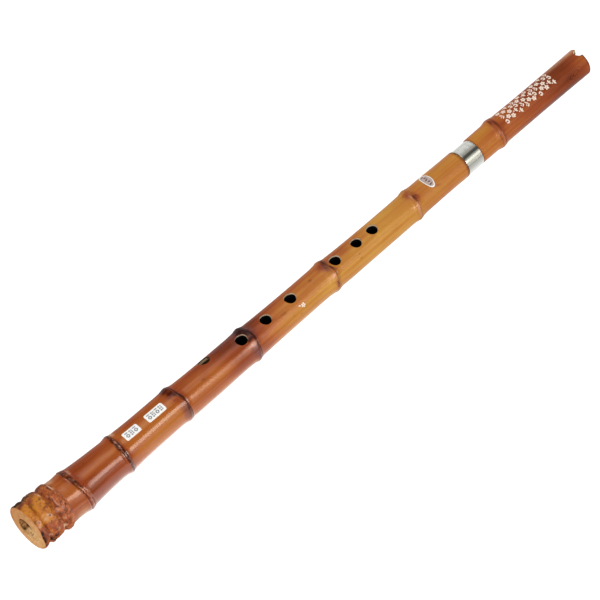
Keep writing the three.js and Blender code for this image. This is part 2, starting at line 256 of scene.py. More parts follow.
def outer(x, th):
    """Distance of the stem's surface from the bore axis."""
    x, th = np.broadcast_arrays(np.asarray(x, float), np.asarray(th, float))
    k = 1 - smooth(44, 50, x)
    r = np.where(x < 50, ROOT(np.clip(groove_shift(x, th), 0, 50)) * k + STEM(np.maximum(x, 45)) * (1 - k), STEM(np.maximum(x, 45)))
    for n in NODES:
        near = np.abs(x - n["at"]) < 22
        if not near.any():
            continue
        xs, ts = x[near], th[near]
        d = xs - node_place(n, ts)
        rise = n["f"](d) * (1 + 0.1 * n["w2"](0, ts))
        for at, deep, half in n["grooves"]:
            rise = rise - deep * np.exp(-(((d - at) / half) ** 2)) * (1 + 0.4 * n["w2"](0, ts + 1))
        r = r.copy()
        r[near] += rise
    r = r + WANDER(x) * np.sin(th - TH0)
    smooth_part = smooth(40, 60, x)
    r = r + (0.10 * LOW(x, th) + 0.007 * FINE(x, th)) * smooth_part
    root = x < 64
    if root.any():
        xs, ts = x[root], th[root]
        fade = 1 - smooth(36, 48, xs)
        dr = (0.34 * fade * ROOT_LOW(xs, ts) + 0.14 * (1 - smooth(35, 39, xs)) * ROOT_FINE(xs, ts)) * smooth(-1, 2.5, xs)
        # secondary scar line on the third lobe
        line = 29.3 + 0.6 * np.sin(3 * (ts - TH0) + 0.4)
        dr = dr - 0.32 * fade * np.exp(-(((xs - line) / 0.4) ** 2))
        ph = np.degrees(wrap(ts - TH0))
        # a chipped, burnt rim, a shallower front and a bite in the first groove's lower side
        dr = dr - 2.5 * np.exp(-((xs / 2.6) ** 2)) * np.exp(-(((ph - 43) / 17) ** 2))
        dr = dr - 1.1 * np.exp(-((xs / 7.0) ** 2)) * np.exp(-((ph / 50) ** 2))
        dr = dr - 1.5 * np.exp(-(((xs - 6.3) / 2.4) ** 2)) * np.exp(-(((ph - 88) / 22) ** 2))
        for x0, phi0, rad, h, kind in SCARS:
            d = blob(xs, ts, 24.3, x0, phi0, rad)
            cap = np.where(d < 1.35, 1 - smooth(0.55, 1.35, d), 0)
            if kind == "pit":
                dr = dr - h * 1.8 * np.exp(-((d * 1.5) ** 2))
            elif kind == "scar":
                dr = dr + h * cap - 0.55 * h * np.exp(-((d / 0.38) ** 2)) + 0.18 * h * np.exp(-(((d - 0.75) / 0.2) ** 2))
            elif kind == "knob":
                dr = dr + h * cap * (0.8 + 0.25 * np.cos(9 * d))
            else:
                dr = dr + h * 0.8 * np.exp(-(d**2) * 1.4)
        r = r.copy()
        r[root] += dr
    for x0, phi0, rad, h in BEADS:
        near = np.abs(x - x0) < 4
        if near.any():
            d = blob(x[near], th[near], float(STEM(x0)), x0, phi0, rad)
            r = r.copy()
            r[near] += h * np.exp(-(d**2) * 1.6)
    r = r - edge_round(x, 0, 0.8) * (x < 2) - edge_round(x, FOOT_END, 0.6) * ((x > 560) & (x <= FOOT_END))
    r = r - edge_round(x, SHOULDER, 0.5) * ((x >= SHOULDER - 1e-6) & (x < 600)) - edge_round(x, LENGTH, 0.45) * (x > 735)
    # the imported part's box: 26.03 and 23.37 mm to the +Y and -Y sides, 25.27 up and 23.92 down
    c, d = np.cos(th), np.sin(th)
    side = np.where(c > 0, 25.95, 23.3) / np.maximum(np.abs(c), 1e-3)
    tall = np.where(d > 0, 25.1, 23.8) / np.maximum(np.abs(d), 1e-3)
    return np.minimum(r, np.minimum(side, tall))


BORE_T = pchip([[0, 11.9], [1.5, 11.7], [3, 11.5], [8, 10.6], [16, 9.4], [26, 8.8], [200, 8.85], [400, 9.1], [540.8, 9.3]])
BORE_ROUGH = Waves(31, n=40, round_max=14, along=0.9)
# dark pits just inside the bore's mouth: distance, phi, radius
BORE_SPOTS = [(1.6, -166, 1.7), (5.8, -160, 1.6), (6.4, -128, 2.4), (2.2, -112, 1.6), (9.0, -140, 2.6), (3.6, 170, 0.9)]


def bore(x, th):
    """Radius of the foot section's bore: rough in the root's mouth, clean beyond it."""
    x, th = np.broadcast_arrays(np.asarray(x, float), np.asarray(th, float))
    rough = 0.55 * BORE_ROUGH(x, th) * (1 - smooth(9, 22, x)) * smooth(0, 1.5, x)
    ridge = -0.9 * np.exp(-(((x - 6.0 - 0.8 * np.sin(2 * th)) / 0.9) ** 2)) - 0.6 * np.exp(-(((x - 13.5) / 1.0) ** 2))
    # the mouth lies low in the root, and is a little wider than it is high
    off = -3.2 * (1 - smooth(0, 15, x))
    low = off * np.cos(th - TH0) - 0.9 * np.cos(2 * (th - TH0)) * (1 - smooth(0, 12, x))
    return BORE_T(x) + rough + ridge + low + edge_round(x, 0, 0.4) * (x < 1) * 0.6


# ------------------------------------------------------------------ mesh helpers
def point(x, th, r):
    """Row-frame coordinates in metres."""
    return np.stack([(x - HALF) * MM, r * np.cos(th) * MM, r * np.sin(th) * MM], -1)


def new_mesh(name, verts, faces, smooth_faces=True):
    me = bpy.data.meshes.new(name)
    me.from_pydata(np.asarray(verts, float).reshape(-1, 3).tolist(), [], faces)
    me.validate()
    me.update()
    ob = bpy.data.objects.new(name, me)
    bpy.context.scene.collection.objects.link(ob)
    me.polygons.foreach_set("use_smooth", [smooth_faces] * len(me.polygons))
    return ob


def volume(ob):
    bm = bmesh.new()
    bm.from_mesh(ob.data)
    v = bm.calc_volume(signed=True)
    bm.free()
    return v


def outward(ob):
    """Turns all faces round if they point inward."""
    if volume(ob) < 0:
        ob.data.flip_normals()
    return ob


def loop_solid(name, rings):
    """A closed tube wall from rings of points (each SIDES long) that run round the wall's section."""
    v = np.array(rings)
    k, s = v.shape[0], v.shape[1]
    i, j = np.meshgrid(np.arange(k), np.arange(s), indexing="ij")
    a = i * s + j
    b = i * s + (j + 1) % s
    c = ((i + 1) % k) * s + (j + 1) % s
    d = ((i + 1) % k) * s + j
    faces = np.stack([a, b, c, d], -1).reshape(-1, 4).tolist()
    return outward(new_mesh(name, v, faces))


def sharpen(ob, degrees):
    """Smooth shading with hard edges above that angle."""
    bpy.ops.object.select_all(action="DESELECT")
    ob.select_set(True)
    bpy.context.view_layer.objects.active = ob
    bpy.ops.object.shade_smooth_by_angle(angle=math.radians(degrees), keep_sharp_edges=False)
    for m in list(ob.modifiers):
        bpy.ops.object.modifier_apply(modifier=m.name)


def cut(ob, tool):
    m = ob.modifiers.new("cut", "BOOLEAN")
    m.operation = "DIFFERENCE"
    m.object = tool
    m.solver = "MANIFOLD"
    bpy.context.view_layer.update()
    dg = bpy.context.evaluated_depsgraph_get()
    me = bpy.data.meshes.new_from_object(ob.evaluated_get(dg))
    ob.modifiers.clear()
    old = ob.data
    name = old.name
    ob.data = me
    bpy.data.meshes.remove(old)
    me.name = name
    bpy.data.objects.remove(tool)


def lathe_ring(name, profile, sides=128):
    """A ring whose section is the closed profile of (distance, radius) points."""
    th = np.arange(sides) * 2 * math.pi / sides
    return loop_solid(name, [point(np.full(sides, x), th, np.full(sides, r)) for x, r in profile])


def rounded(profile, radius, steps=4):
    """Rounds the corners of a closed (distance, radius) outline."""
    out = []
    n = len(profile)
    for i in range(n):
        p0, p1, p2 = (np.array(profile[k % n], float) for k in (i - 1, i, i + 1))
        a, b = p0 - p1, p2 - p1
        la, lb = np.linalg.norm(a), np.linalg.norm(b)
        f = min(radius, 0.45 * la, 0.45 * lb)
        s, e = p1 + a / la * f, p1 + b / lb * f
        if la > 5 * f:
            out.append(tuple(p1 + a / la * f * 1.5))
        for k in range(steps + 1):
            t = k / steps
            out.append(tuple((1 - t) ** 2 * s + 2 * t * (1 - t) * p1 + t * t * e))
        if lb > 5 * f:
            out.append(tuple(p1 + b / lb * f * 1.5))
    return out


# ------------------------------------------------------------------ tone holes and notch
# name, distance, degrees from +Z towards +Y, radius, how much the wall opens towards the rim
HOLES = [
    ("first", 445.0, 4, 5.3, 0.6), ("second", 423.4, 4, 5.3, 0.45), ("third", 394.8, 4, 5.4, 0.65),
    ("fourth", 334.8, 4, 5.6, 0.5), ("fifth", 301.7, 1.5, 5.7, 0.25), ("sixth", 269.5, 0, 5.9, 0.05),
    ("seventh", 230.5, 37, 5.9, 0.2), ("thumb", 466.5, 180, 5.0, 0.4),
    ("vent_left", 131, 148, 3.7, 0.3), ("vent_right", 131, -148, 3.7, 0.3),
]


def hole_tool(at, degrees, radius, flare, lip=0.35, around=64):
    """Closed cutting body: a hole that opens a little upwards and whose rim rolls over onto the stem's real surface."""
    a = math.radians(degrees)
    n = np.array([math.sin(a), math.cos(a)])  # (Y, Z) outward
    m = np.array([math.cos(a), -math.sin(a)])
    f = np.arange(around) * 2 * math.pi / around

    def surface(rho):
        x = at + rho * np.cos(f)
        v = rho * np.sin(f)
        h = np.sqrt(np.maximum(16.0**2 - v**2, 1))
        for _ in range(5):
            y, z = v * m[0] + h * n[0], v * m[1] + h * n[1]
            r = outer(x, np.arctan2(z, y))
            h = np.sqrt(np.maximum(r**2 - v**2, 1))
        return x, v, h

    def place(x, v, h):
        return np.stack([(x - HALF) * MM, (v * m[0] + h * n[0]) * MM, (v * m[1] + h * n[1]) * MM], -1)

    rows = []
    x, v, top = surface(radius)
    low = 3.0
    rows.append(place(x, v, np.full(around, low)))
    depths = np.linspace(top - low, np.full(around, lip), 9)[1:-1]
    for d in depths:
        x, v, top = surface(radius + flare * np.clip(1 - (d.mean() - lip) / 3.0, 0, 1))
        rows.append(place(x, v, top - d))
    for t in np.linspace(0, 72, 6):
        t = math.radians(t)
        x, v, top = surface(radius + flare + lip * (1 - math.cos(t)))
        rows.append(place(x, v, top - lip * (1 - math.sin(t))))
    x, v, top = surface(radius + flare + lip * (1 - math.cos(math.radians(72))) + 0.3)
    rows.append(place(x, v, top + 0.35))
    rows.append(place(x, v, np.full(around, top.max() + 5)))
    verts = np.concatenate(rows)
    k = len(rows)
    faces = []
    for i in range(k - 1):
        for j in range(around):
            faces.append([i * around + j, i * around + (j + 1) % around, (i + 1) * around + (j + 1) % around, (i + 1) * around + j])
    faces.append(list(range(around))[::-1])
    faces.append([(k - 1) * around + j for j in range(around)])
    return verts, faces


def join_tools(name, parts):
    verts, faces, base = [], [], 0
    for v, f in parts:
        verts.append(v)
        faces += [[i + base for i in face] for face in f]
        base += len(v)
    ob = new_mesh(name, np.concatenate(verts), faces, False)
    bm = bmesh.new()
    bm.from_mesh(ob.data)
    bmesh.ops.recalc_face_normals(bm, faces=bm.faces)
    bm.to_mesh(ob.data)
    bm.free()
    return ob


def notch_tool():
    """The U of the blowing edge: a leaning cylinder that leaves a thin slanted lip at the bore."""
    radius, deep, degrees, slope = 4.9, 4.5, 12.0, 20.0
    k = 56
    f = np.arange(k) * 2 * math.pi / k
    tilt = math.radians(slope)
    a = math.radians(degrees)
    n = np.array([math.sin(a), math.cos(a)])
    m = np.array([math.cos(a), -math.sin(a)])
    out = float(STEM(LENGTH))
    rows = []
    for h, grow in ((-10, 0), (-0.6, 0), (0.0, 0.12), (0.45, 0.55), (10, 0.55)):
        x = (radius + grow) * np.cos(f)
        v = (radius + grow) * np.sin(f)
        along = x * math.cos(tilt) - h * math.sin(tilt)
        up = x * math.sin(tilt) + h * math.cos(tilt)
        xx = LENGTH - deep + radius + along
        rr = out + up
        rows.append(np.stack([(xx - HALF) * MM, (v * m[0] + rr * n[0]) * MM, (v * m[1] + rr * n[1]) * MM], -1))
    faces = []
    for i in range(len(rows) - 1):
        for j in range(k):
            faces.append([i * k + j, i * k + (j + 1) % k, (i + 1) * k + (j + 1) % k, (i + 1) * k + j])
    faces.append(list(range(k))[::-1])
    faces.append([(len(rows) - 1) * k + j for j in range(k)])
    return np.concatenate(rows), faces


# ------------------------------------------------------------------ the two bamboo sections
TH = np.arange(SIDES) * 2 * math.pi / SIDES


def stations(a, b, fine):
    """Distances from a to b: close together in the fine ranges, wider between them."""
    out = [a]
    while out[-1] < b - 1e-6:
        x = out[-1]
        step = 3.2
        for lo, hi, s in fine:
            if lo - 3 <= x < hi:
                step = min(step, s)
        out.append(min(b, x + step))
    if len(out) > 2 and out[-1] - out[-2] < 0.15:
        out.pop(-2)
    return np.array(out)


def make_foot():
    fine = [(0.6, 40, 0.6), (40, 50, 0.9)] + [(n["at"] - 8, n["at"] + 8, 0.55) for n in NODES[:6]]
    fine[2] = (50, 66, 0.55)
    xs = list(stations(0.6, FOOT_END - 0.7, fine))
    xs = [0.0, 0.04, 0.14, 0.3] + xs + [FOOT_END - 0.5, FOOT_END - 0.3, FOOT_END - 0.12, FOOT_END - 0.03, FOOT_END]
    rings = [point(np.full(SIDES, x), TH, outer(x, TH)) for x in xs]
    seat = 10.5
    for r in (12.6, 11.2, seat + 0.25):
        rings.append(point(np.full(SIDES, FOOT_END), TH, np.full(SIDES, r)))
    rings.append(point(np.full(SIDES, FOOT_END - 0.3), TH, np.full(SIDES, seat)))
    rings.append(point(np.full(SIDES, 553.0), TH, np.full(SIDES, seat)))
    rings.append(point(np.full(SIDES, 540.8), TH, np.full(SIDES, seat)))
    xb = [540.8, 480, 440, 400, 360, 320, 280, 240, 200, 160, 120, 90, 60, 40, 30]
    xb += list(np.arange(26, 1.0, -0.9)) + [0.6, 0.25, 0.0]
    rings += [point(np.full(SIDES, x), TH, bore(x, TH)) for x in xb]
    inner, rim = bore(0.0, TH), outer(0.0, TH)
    for t in (0.12, 0.4, 0.7, 0.92):
        rings.append(point(np.full(SIDES, 0.0), TH, inner + (rim - inner) * t))
    ob = loop_solid("foot_bamboo", rings)
    cut(ob, join_tools("foot_tools", [hole_tool(*hole[1:]) for hole in HOLES]))
    return ob


def make_head():
    fine = [(SHOULDER + 0.6, SHOULDER + 4, 0.8), (NODES[6]["at"] - 9, NODES[6]["at"] + 9, 0.55), (734, 739.4, 0.8)]
    xs = list(stations(SHOULDER + 0.6, LENGTH - 0.6, fine))
    xs = [SHOULDER, SHOULDER + 0.03, SHOULDER + 0.12, SHOULDER + 0.3] + xs + [LENGTH - 0.4, LENGTH - 0.22, LENGTH - 0.08, LENGTH - 0.02, LENGTH]
    flat = lambda x, r: point(np.full(SIDES, x), TH, np.full(SIDES, r))
    start = FOOT_END + 0.4
    socket = 590.6
    rings = [flat(start, 12.7), flat(start + 0.3, 13.0), flat(SHOULDER - 6, 13.0), flat(SHOULDER, 13.0), flat(SHOULDER, 13.6)]
    rings += [point(np.full(SIDES, x), TH, outer(x, TH)) for x in xs]
    rings += [flat(LENGTH, 13.2), flat(LENGTH, 11.6), flat(LENGTH, 10.5), flat(LENGTH - 0.1, 10.28), flat(LENGTH - 0.4, 10.2)]
    rings += [flat(x, 9.6 + 0.6 * (x - socket) / 149.4) for x in (720, 700, 670, 640, 610, socket)]
    rings += [flat(socket, 11.3), flat(578, 11.3), flat(start + 0.3, 11.3), flat(start, 11.6), flat(start, 12.1)]
    ob = loop_solid("head_bamboo", rings)
    cut(ob, join_tools("head_tools", [notch_tool()]))
    return ob


def cylindrical(ob):
    """Each vertex as (distance from the foot face, angle, radius) in millimetres."""
    co = np.zeros(len(ob.data.vertices) * 3, np.float32)
    ob.data.vertices.foreach_get("co", co)
    co = co.reshape(-1, 3).astype(float) / MM
    return co[:, 0] + HALF, np.arctan2(co[:, 2], co[:, 1]), np.hypot(co[:, 1], co[:, 2])


def set_attribute(ob, name, values):
    a = ob.data.attributes.new(name, "FLOAT", "POINT")
    a.data.foreach_set("value", np.asarray(values, np.float32))


# ------------------------------------------------------------------ where the colours lie
# Colour along the stem: 0 the darkest red-brown, 1 golden
TONE = pchip(
    [
        [36, 0.4], [44, 0.45], [52, 0.45], [58, 0.28], [66, 0.25], [90, 0.26], [106, 0.32], [113, 0.42], [122, 0.53], [150, 0.55],
        [176, 0.53], [184, 0.38], [190, 0.44], [205, 0.5], [225, 0.48], [236, 0.4], [245, 0.3], [262, 0.22], [284, 0.26], [291, 0.3], [299, 0.42], [308, 0.55],
        [330, 0.67], [378, 0.77], [392, 0.72], [420, 0.82], [460, 0.86], [494, 0.8], [506, 0.65], [540, 0.69], [566, 0.67],
        [587, 0.58], [592, 0.62], [604, 0.62], [613, 0.56], [619, 0.43], [626, 0.44], [636, 0.4], [660, 0.27], [690, 0.14], [712, 0.12], [726, 0.22], [740, 0.34],
    ]
)

# Patches of colour: (distance, phi, reach along, reach round in degrees, strength).
# Those of a node are given from its ring instead of from the foot face.
MARKS = {
    "dark": [
        (1.4, -75, 3.9, 12.5, 1), (5.7, -69, 3.9, 8.4, 1), (1.6, -59, 4.9, 5.8, 0.55), (0.9, -53, 1.9, 8.3, 0.4),
        (0.6, 30, 1.9, 7.7, 1), (0.6, 45, 1.9, 9, 0.95), (0.6, 56, 1.6, 5.8, 0.85), (0.2, 69, 1.9, 6.4, 0.8),
        (9.2, 71, 3.1, 8.7, 1), (13.5, 60, 2.5, 5.6, 0.85), (0.9, -4, 1.7, 3.6, 0.6), (9.2, -40, 1.8, 3.5, 0.6),
        (11.2, -36, 1.6, 2.8, 0.5), (8.3, -30, 0.8, 7.2, 0.35), (15, -24, 1.9, 3.4, 0.35), (19.1, -38, 1.4, 3.6, 0.4),
        (15.9, 5, 1.1, 2.2, 0.85), (14.5, 43, 1.6, 3.4, 0.6), (5.2, 25, 0.9, 10.9, 0.4), (15, -69, 4.9, 7.2, 0.75),
        (16.7, -60, 3.9, 5.2, 0.35), (29.7, -72, 3.9, 8.2, 0.5), (26.8, -13, 0.6, 12, 0.55), (34.2, 7, 1.1, 2.6, 0.8),
        (31.8, -4, 1.1, 2.4, 0.5), (27.4, 2, 1, 2.2, 0.5), (25.8, -24, 1, 3.7, 0.5), (28.1, -31, 0.9, 2.9, 0.5),
        (21.7, -17, 1.6, 4.4, 0.35), (24.8, 18, 1.2, 2.3, 0.45), (28.7, 45, 1, 5.1, 0.45), (27.1, 52, 1, 3.7, 0.4),
        (34.8, 28, 1, 2.5, 0.5), (32.9, -44, 1.2, 11.6, 0.6), (21.7, -35, 1, 5, 0.35), (23.2, 29, 1, 2.5, 0.4),
        (31, 19, 1, 2.1, 0.45), (29.3, 24, 0.9, 2.9, 0.4), (13.5, -82, 5, 9, 0.7), (20, -78, 5, 8, 0.6), (29, -84, 6, 8, 0.4), (20.5, 30, 1, 6.4, 0.35), (25.2, -47, 1.2, 3.6, 0.35),
        (28.8, -50, 0.9, 3.5, 0.4), (21, -6, 1.8, 5.3, 0.35), (4, 150, 4, 40, 0.6), (17, 190, 4, 40, 0.5), (30, 150, 4, 40, 0.4),
        (714, 24, 3, 11, 0.3), (700, -4, 7, 7, 0.2), (690, 82, 62, 24, 0.45), (318.6, 1, 2.2, 4, 0.5), (361.4, -30, 1.6, 4, 0.5), (215.4, -8, 1.6, 4, 0.6), (306, -6, 3, 4, 0.25),
    ],
    "red": [
        (5.6, -58, 4.0, 5.5, 0.9), (12, -51, 2.9, 8.4, 1), (14, -68, 5, 7, 0.6), (20, -64, 4, 8, 0.5), (1.6, 20, 2.9, 6.1, 0.85), (13.3, 34, 2.1, 5.9, 0.9), (18.9, 40, 1.5, 6.5, 0.6),
        (18.9, 10, 1.5, 4.8, 0.6), (4.3, -13, 2.9, 3.4, 0.35), (1.4, -11, 2.1, 3.4, 0.5), (8.1, -17, 1.5, 7.7, 0.3),
        (11.1, 23, 2.9, 7.1, 0.4), (46, -60, 5, 16, 0.3), (408, -35, 5, 18, 0.35), (526.5, 4, 2, 5, 0.6), (529, 9, 1.6, 4, 0.5),
    ],
    "plum": [(3.5, 5, 1, 1.9, 0.95), (4.7, 37, 2.7, 9.5, 0.55), (3.6, 50, 2.4, 5.3, 0.45), (252, -62, 18, 20, 0.5), (266, -40, 8, 22, 0.5), (262, 24, 14, 18, 0.25)],
    # pink: pinkish patches, many of them painted highlights on the lobes' edges and scar lines
    "pink": [
        (4, 1, 1.7, 3.8, 0.7), (16.6, 45, 2, 4.8, 0.75), (24.4, 5, 1.8, 5.6, 0.55), (28.1, -9, 0.6, 8.7, 0.7),
        (28.5, -21, 0.6, 6.8, 0.5), (28.6, -2, 1, 2.2, 0.7), (30.1, 9, 1.9, 3.1, 0.6), (26.2, -30, 1, 2.4, 0.45),
        (30.5, 33, 1, 2.6, 0.4), (26.6, 32, 1.2, 2.6, 0.4), (19.9, -30, 0.9, 5.3, 0.4), (23.3, 40, 0.9, 5.9, 0.4),
    ],
    # pale: painted highlights and sheen: glints on the root's lobes and ridges, painted reflections along the lower
    # edge at the root and near the mouth, and a painted sheen on the upper flank near the mouth
    "pale": [
        (22.2, -48, 0.8, 4.6, 0.9), (21.8, -58, 1, 3.8, 0.8), (1.8, 9, 1.6, 2.6, 0.65), (14.5, 1, 1.7, 2.4, 0.7),
        (17, 8, 1.5, 3.3, 0.55), (10.2, 5, 3.1, 4.3, 0.4), (35.3, -45, 0.7, 14.9, 0.95), (7.9, 47, 1.5, 4.9, 0.5),
        (24.6, 59, 2, 6.7, 0.8), (8.4, -4, 2.5, 2.6, 0.25), (46, 86, 10, 30, 0.32), (39.5, -80, 4.5, 22, 0.5), (733, -84, 14, 26, 0.75), (728, 112, 10, 22, 0.3), (716, -88, 26, 30, 0.5),
    ],
}
# At the nodes the pink patches are mostly painted highlights on the rings' ridges and beads.
NODE_MARKS = [
    {
        "dark": [(-0.3, -58, 2.9, 18, 0.9), (-0.6, -34, 2.9, 16, 0.85), (-0.4, -14, 2.4, 12, 0.85), (0, 0, 1.9, 8, 0.7), (0, 150, 2, 60, 0.6), (-1.6, 30, 0.7, 20, 0.4)],
        "pink": [(3.6, -50, 1.3, 14, 0.6), (-3.2, -32, 0.5, 9, 0.8), (2.2, 18, 1.6, 8, 0.5), (0.2, 26, 0.8, 6, 0.5), (2.6, 34, 0.8, 6, 0.4), (0, 10, 0.9, 4, 0.4)],
        "red": [(-4.4, -45, 2.6, 26, 0.7), (4.6, -22, 2.4, 22, 0.8), (4, 0, 2.3, 12, 0.9), (1.5, 45, 2.5, 20, 0.3)],
    },
    {
        "dark": [(-1.7, -20, 1.1, 32, 1), (1.7, 0, 1.2, 32, 1)],
        "red": [(3.2, 10, 1.9, 28, 0.8), (3.2, -25, 1.4, 18, 0.6), (-3.4, -60, 2.2, 20, 0.6)],
        "pink": [(0.2, -31, 0.7, 5, 0.95), (0.5, -24, 0.5, 2.4, 0.5), (0.5, -13, 0.6, 4.5, 0.9), (0.3, -5, 0.5, 2.6, 0.75), (-0.3, 3, 0.4, 2.4, 0.4), (0.2, 14, 0.4, 2.4, 0.4)],
        # a painted highlight on the slope beside the ring
        "pale": [(3.6, -72, 2.4, 16, 0.6)],
    },
    {
        "dark": [(-3.2, -74, 5.0, 15, 1), (-4.0, -56, 5.2, 10, 0.95), (-3.0, -41, 4.0, 10, 1), (-0.8, -27, 2.5, 10, 1), (0.9, -12, 2.0, 10, 1), (1.7, 3, 1.3, 10, 0.85),
                 (0.6, 27, 1.5, 12, 0.75), (-0.6, 45, 1.8, 12, 0.4), (0, 150, 3, 60, 0.6)],
        "plum": [(-6.3, -30, 3.0, 7, 0.9), (-2.5, 30, 4.2, 20, 0.75), (-4.0, 48, 3.5, 16, 0.6)],
        "red": [(-6.5, -12, 2.6, 5, 1), (-3.5, -8, 2.5, 7, 0.7), (3.9, -15, 2.6, 24, 0.6), (3.0, 22, 2.0, 20, 0.4)],
        "pink": [(3.2, 9, 1.2, 9, 0.5)],
    },
    {
        "dark": [(-3.0, -70, 5.0, 15, 1), (-3.0, -50, 4.6, 14, 1), (-1.2, -32, 3.6, 14, 0.95), (0.4, -52, 2.6, 26, 1), (-3.0, -8, 5.2, 5.5, 1), (1.2, -30, 1.9, 26, 0.9), (1.5, -4, 1.5, 10, 0.95), (1.3, 22, 1.0, 16, 0.6), (0, 160, 4, 70, 0.7)],
        "plum": [(-1.0, -28, 5.0, 16, 1), (-2.5, 32, 5.5, 24, 0.9), (0.5, 50, 3.0, 24, 0.75), (-8, -52, 8, 26, 0.9), (4.0, -42, 4.2, 28, 0.9), (3.2, -8, 2.2, 14, 0.6)],
        "red": [(3.8, -15, 2.4, 22, 0.8), (3.6, 20, 1.5, 20, 0.3), (4.5, -12, 2.5, 12, 0.5)],
        "pink": [(-4.0, 9, 4.4, 6.5, 0.85)],
    },
    {
        "dark": [(0.6, -44, 1.8, 22, 0.95), (-1.2, -40, 1.8, 14, 0.55), (-1.6, -26, 2.2, 12, 0.5), (1.5, -18, 1.4, 13, 0.8), (1.7, 10, 0.7, 10, 0.5), (0.2, 40, 1.1, 7, 0.5), (-0.8, 52, 1.0, 7, 0.45),
                 (-3.2, -30, 0.6, 3, 0.6), (-5.2, -45, 0.6, 3, 0.5), (-2.2, -44, 0.7, 3, 0.6), (-0.8, -28, 0.6, 3, 0.6), (0, 170, 3, 60, 0.4)],
        "red": [(-4.8, -38, 4.6, 18, 0.85), (-2.2, -20, 3.0, 11, 0.8), (2.8, -5, 2.4, 9, 0.8), (0, 46, 2.0, 15, 0.7), (3, 30, 1.8, 20, 0.3)],
        "plum": [(-2.6, -34, 3.4, 30, 0.42), (3.0, -46, 2.0, 18, 0.5)],
        "pink": [(-1.9, 10, 1.5, 7, 0.9)],
    },
    {
        "dark": [(0.4, -15, 1.3, 12, 0.7), (0.6, -3, 0.8, 3, 0.7), (3.9, -19, 0.7, 3, 0.85), (5, -15, 0.5, 2.4, 0.6), (3, 4, 0.6, 2.5, 0.7),
                 (4.6, 6, 0.5, 2, 0.6), (2.2, -22, 0.6, 2.5, 0.6), (5.6, -6, 0.5, 2, 0.5), (0, 180, 2.6, 60, 0.3)],
        "red": [(-3.0, -38, 4.0, 21, 0.85), (2.8, -12, 3.6, 13, 1), (3.4, -28, 2.2, 10, 0.6)],
        "pink": [(-0.2, 22, 1.2, 18, 0.75), (-0.4, 45, 1.0, 14, 0.5), (-1.5, -22, 0.7, 12, 0.4)],
    },
    {
        "dark": [(1.6, -28, 1.9, 22, 0.42), (-1.6, -50, 0.9, 14, 0.5), (0, 170, 3, 60, 0.4)],
        "red": [(0, -45, 3.4, 22, 1), (-2.5, -30, 1.8, 18, 0.6), (3.0, 0, 1.7, 30, 0.6)],
        "pink": [(0.9, 22, 0.9, 22, 0.35), (-0.2, 50, 0.8, 16, 0.25)],
    },
]


BLUR_X = Waves(41, n=40, round_max=16, along=0.9)
BLUR_A = Waves(42, n=40, round_max=16, along=0.9)


def patch(x, th, kind):
    """Strength of one kind of mark, with ragged outlines."""
    out = np.zeros(np.shape(x))
    xx = x + 0.45 * BLUR_X(x, th)
    aa = np.degrees(wrap(th - TH0)) + 1.8 * BLUR_A(x, th)

    def add(dist, spots):
        for x0, phi0, rx, rp, s in spots:
            a = (aa - phi0 + 180) % 360 - 180
            np.maximum(out, s * np.exp(-((((dist - x0) / rx) ** 2 + (a / rp) ** 2) ** 1.4)), out)

    add(xx, MARKS[kind])
    for n, marks in zip(NODES, NODE_MARKS):
        near = np.abs(x - n["at"]) < 26
        if near.any() and kind in marks:
            part = np.zeros(int(near.sum()))
            d = xx[near] - node_place(n, th[near])
            for x0, phi0, rx, rp, s in marks[kind]:
                a = (aa[near] - phi0 + 180) % 360 - 180
                np.maximum(part, s * np.exp(-((((d - x0) / rx) ** 2 + (a / rp) ** 2) ** 1.4)), part)
            out[near] = np.maximum(out[near], part)
    return out


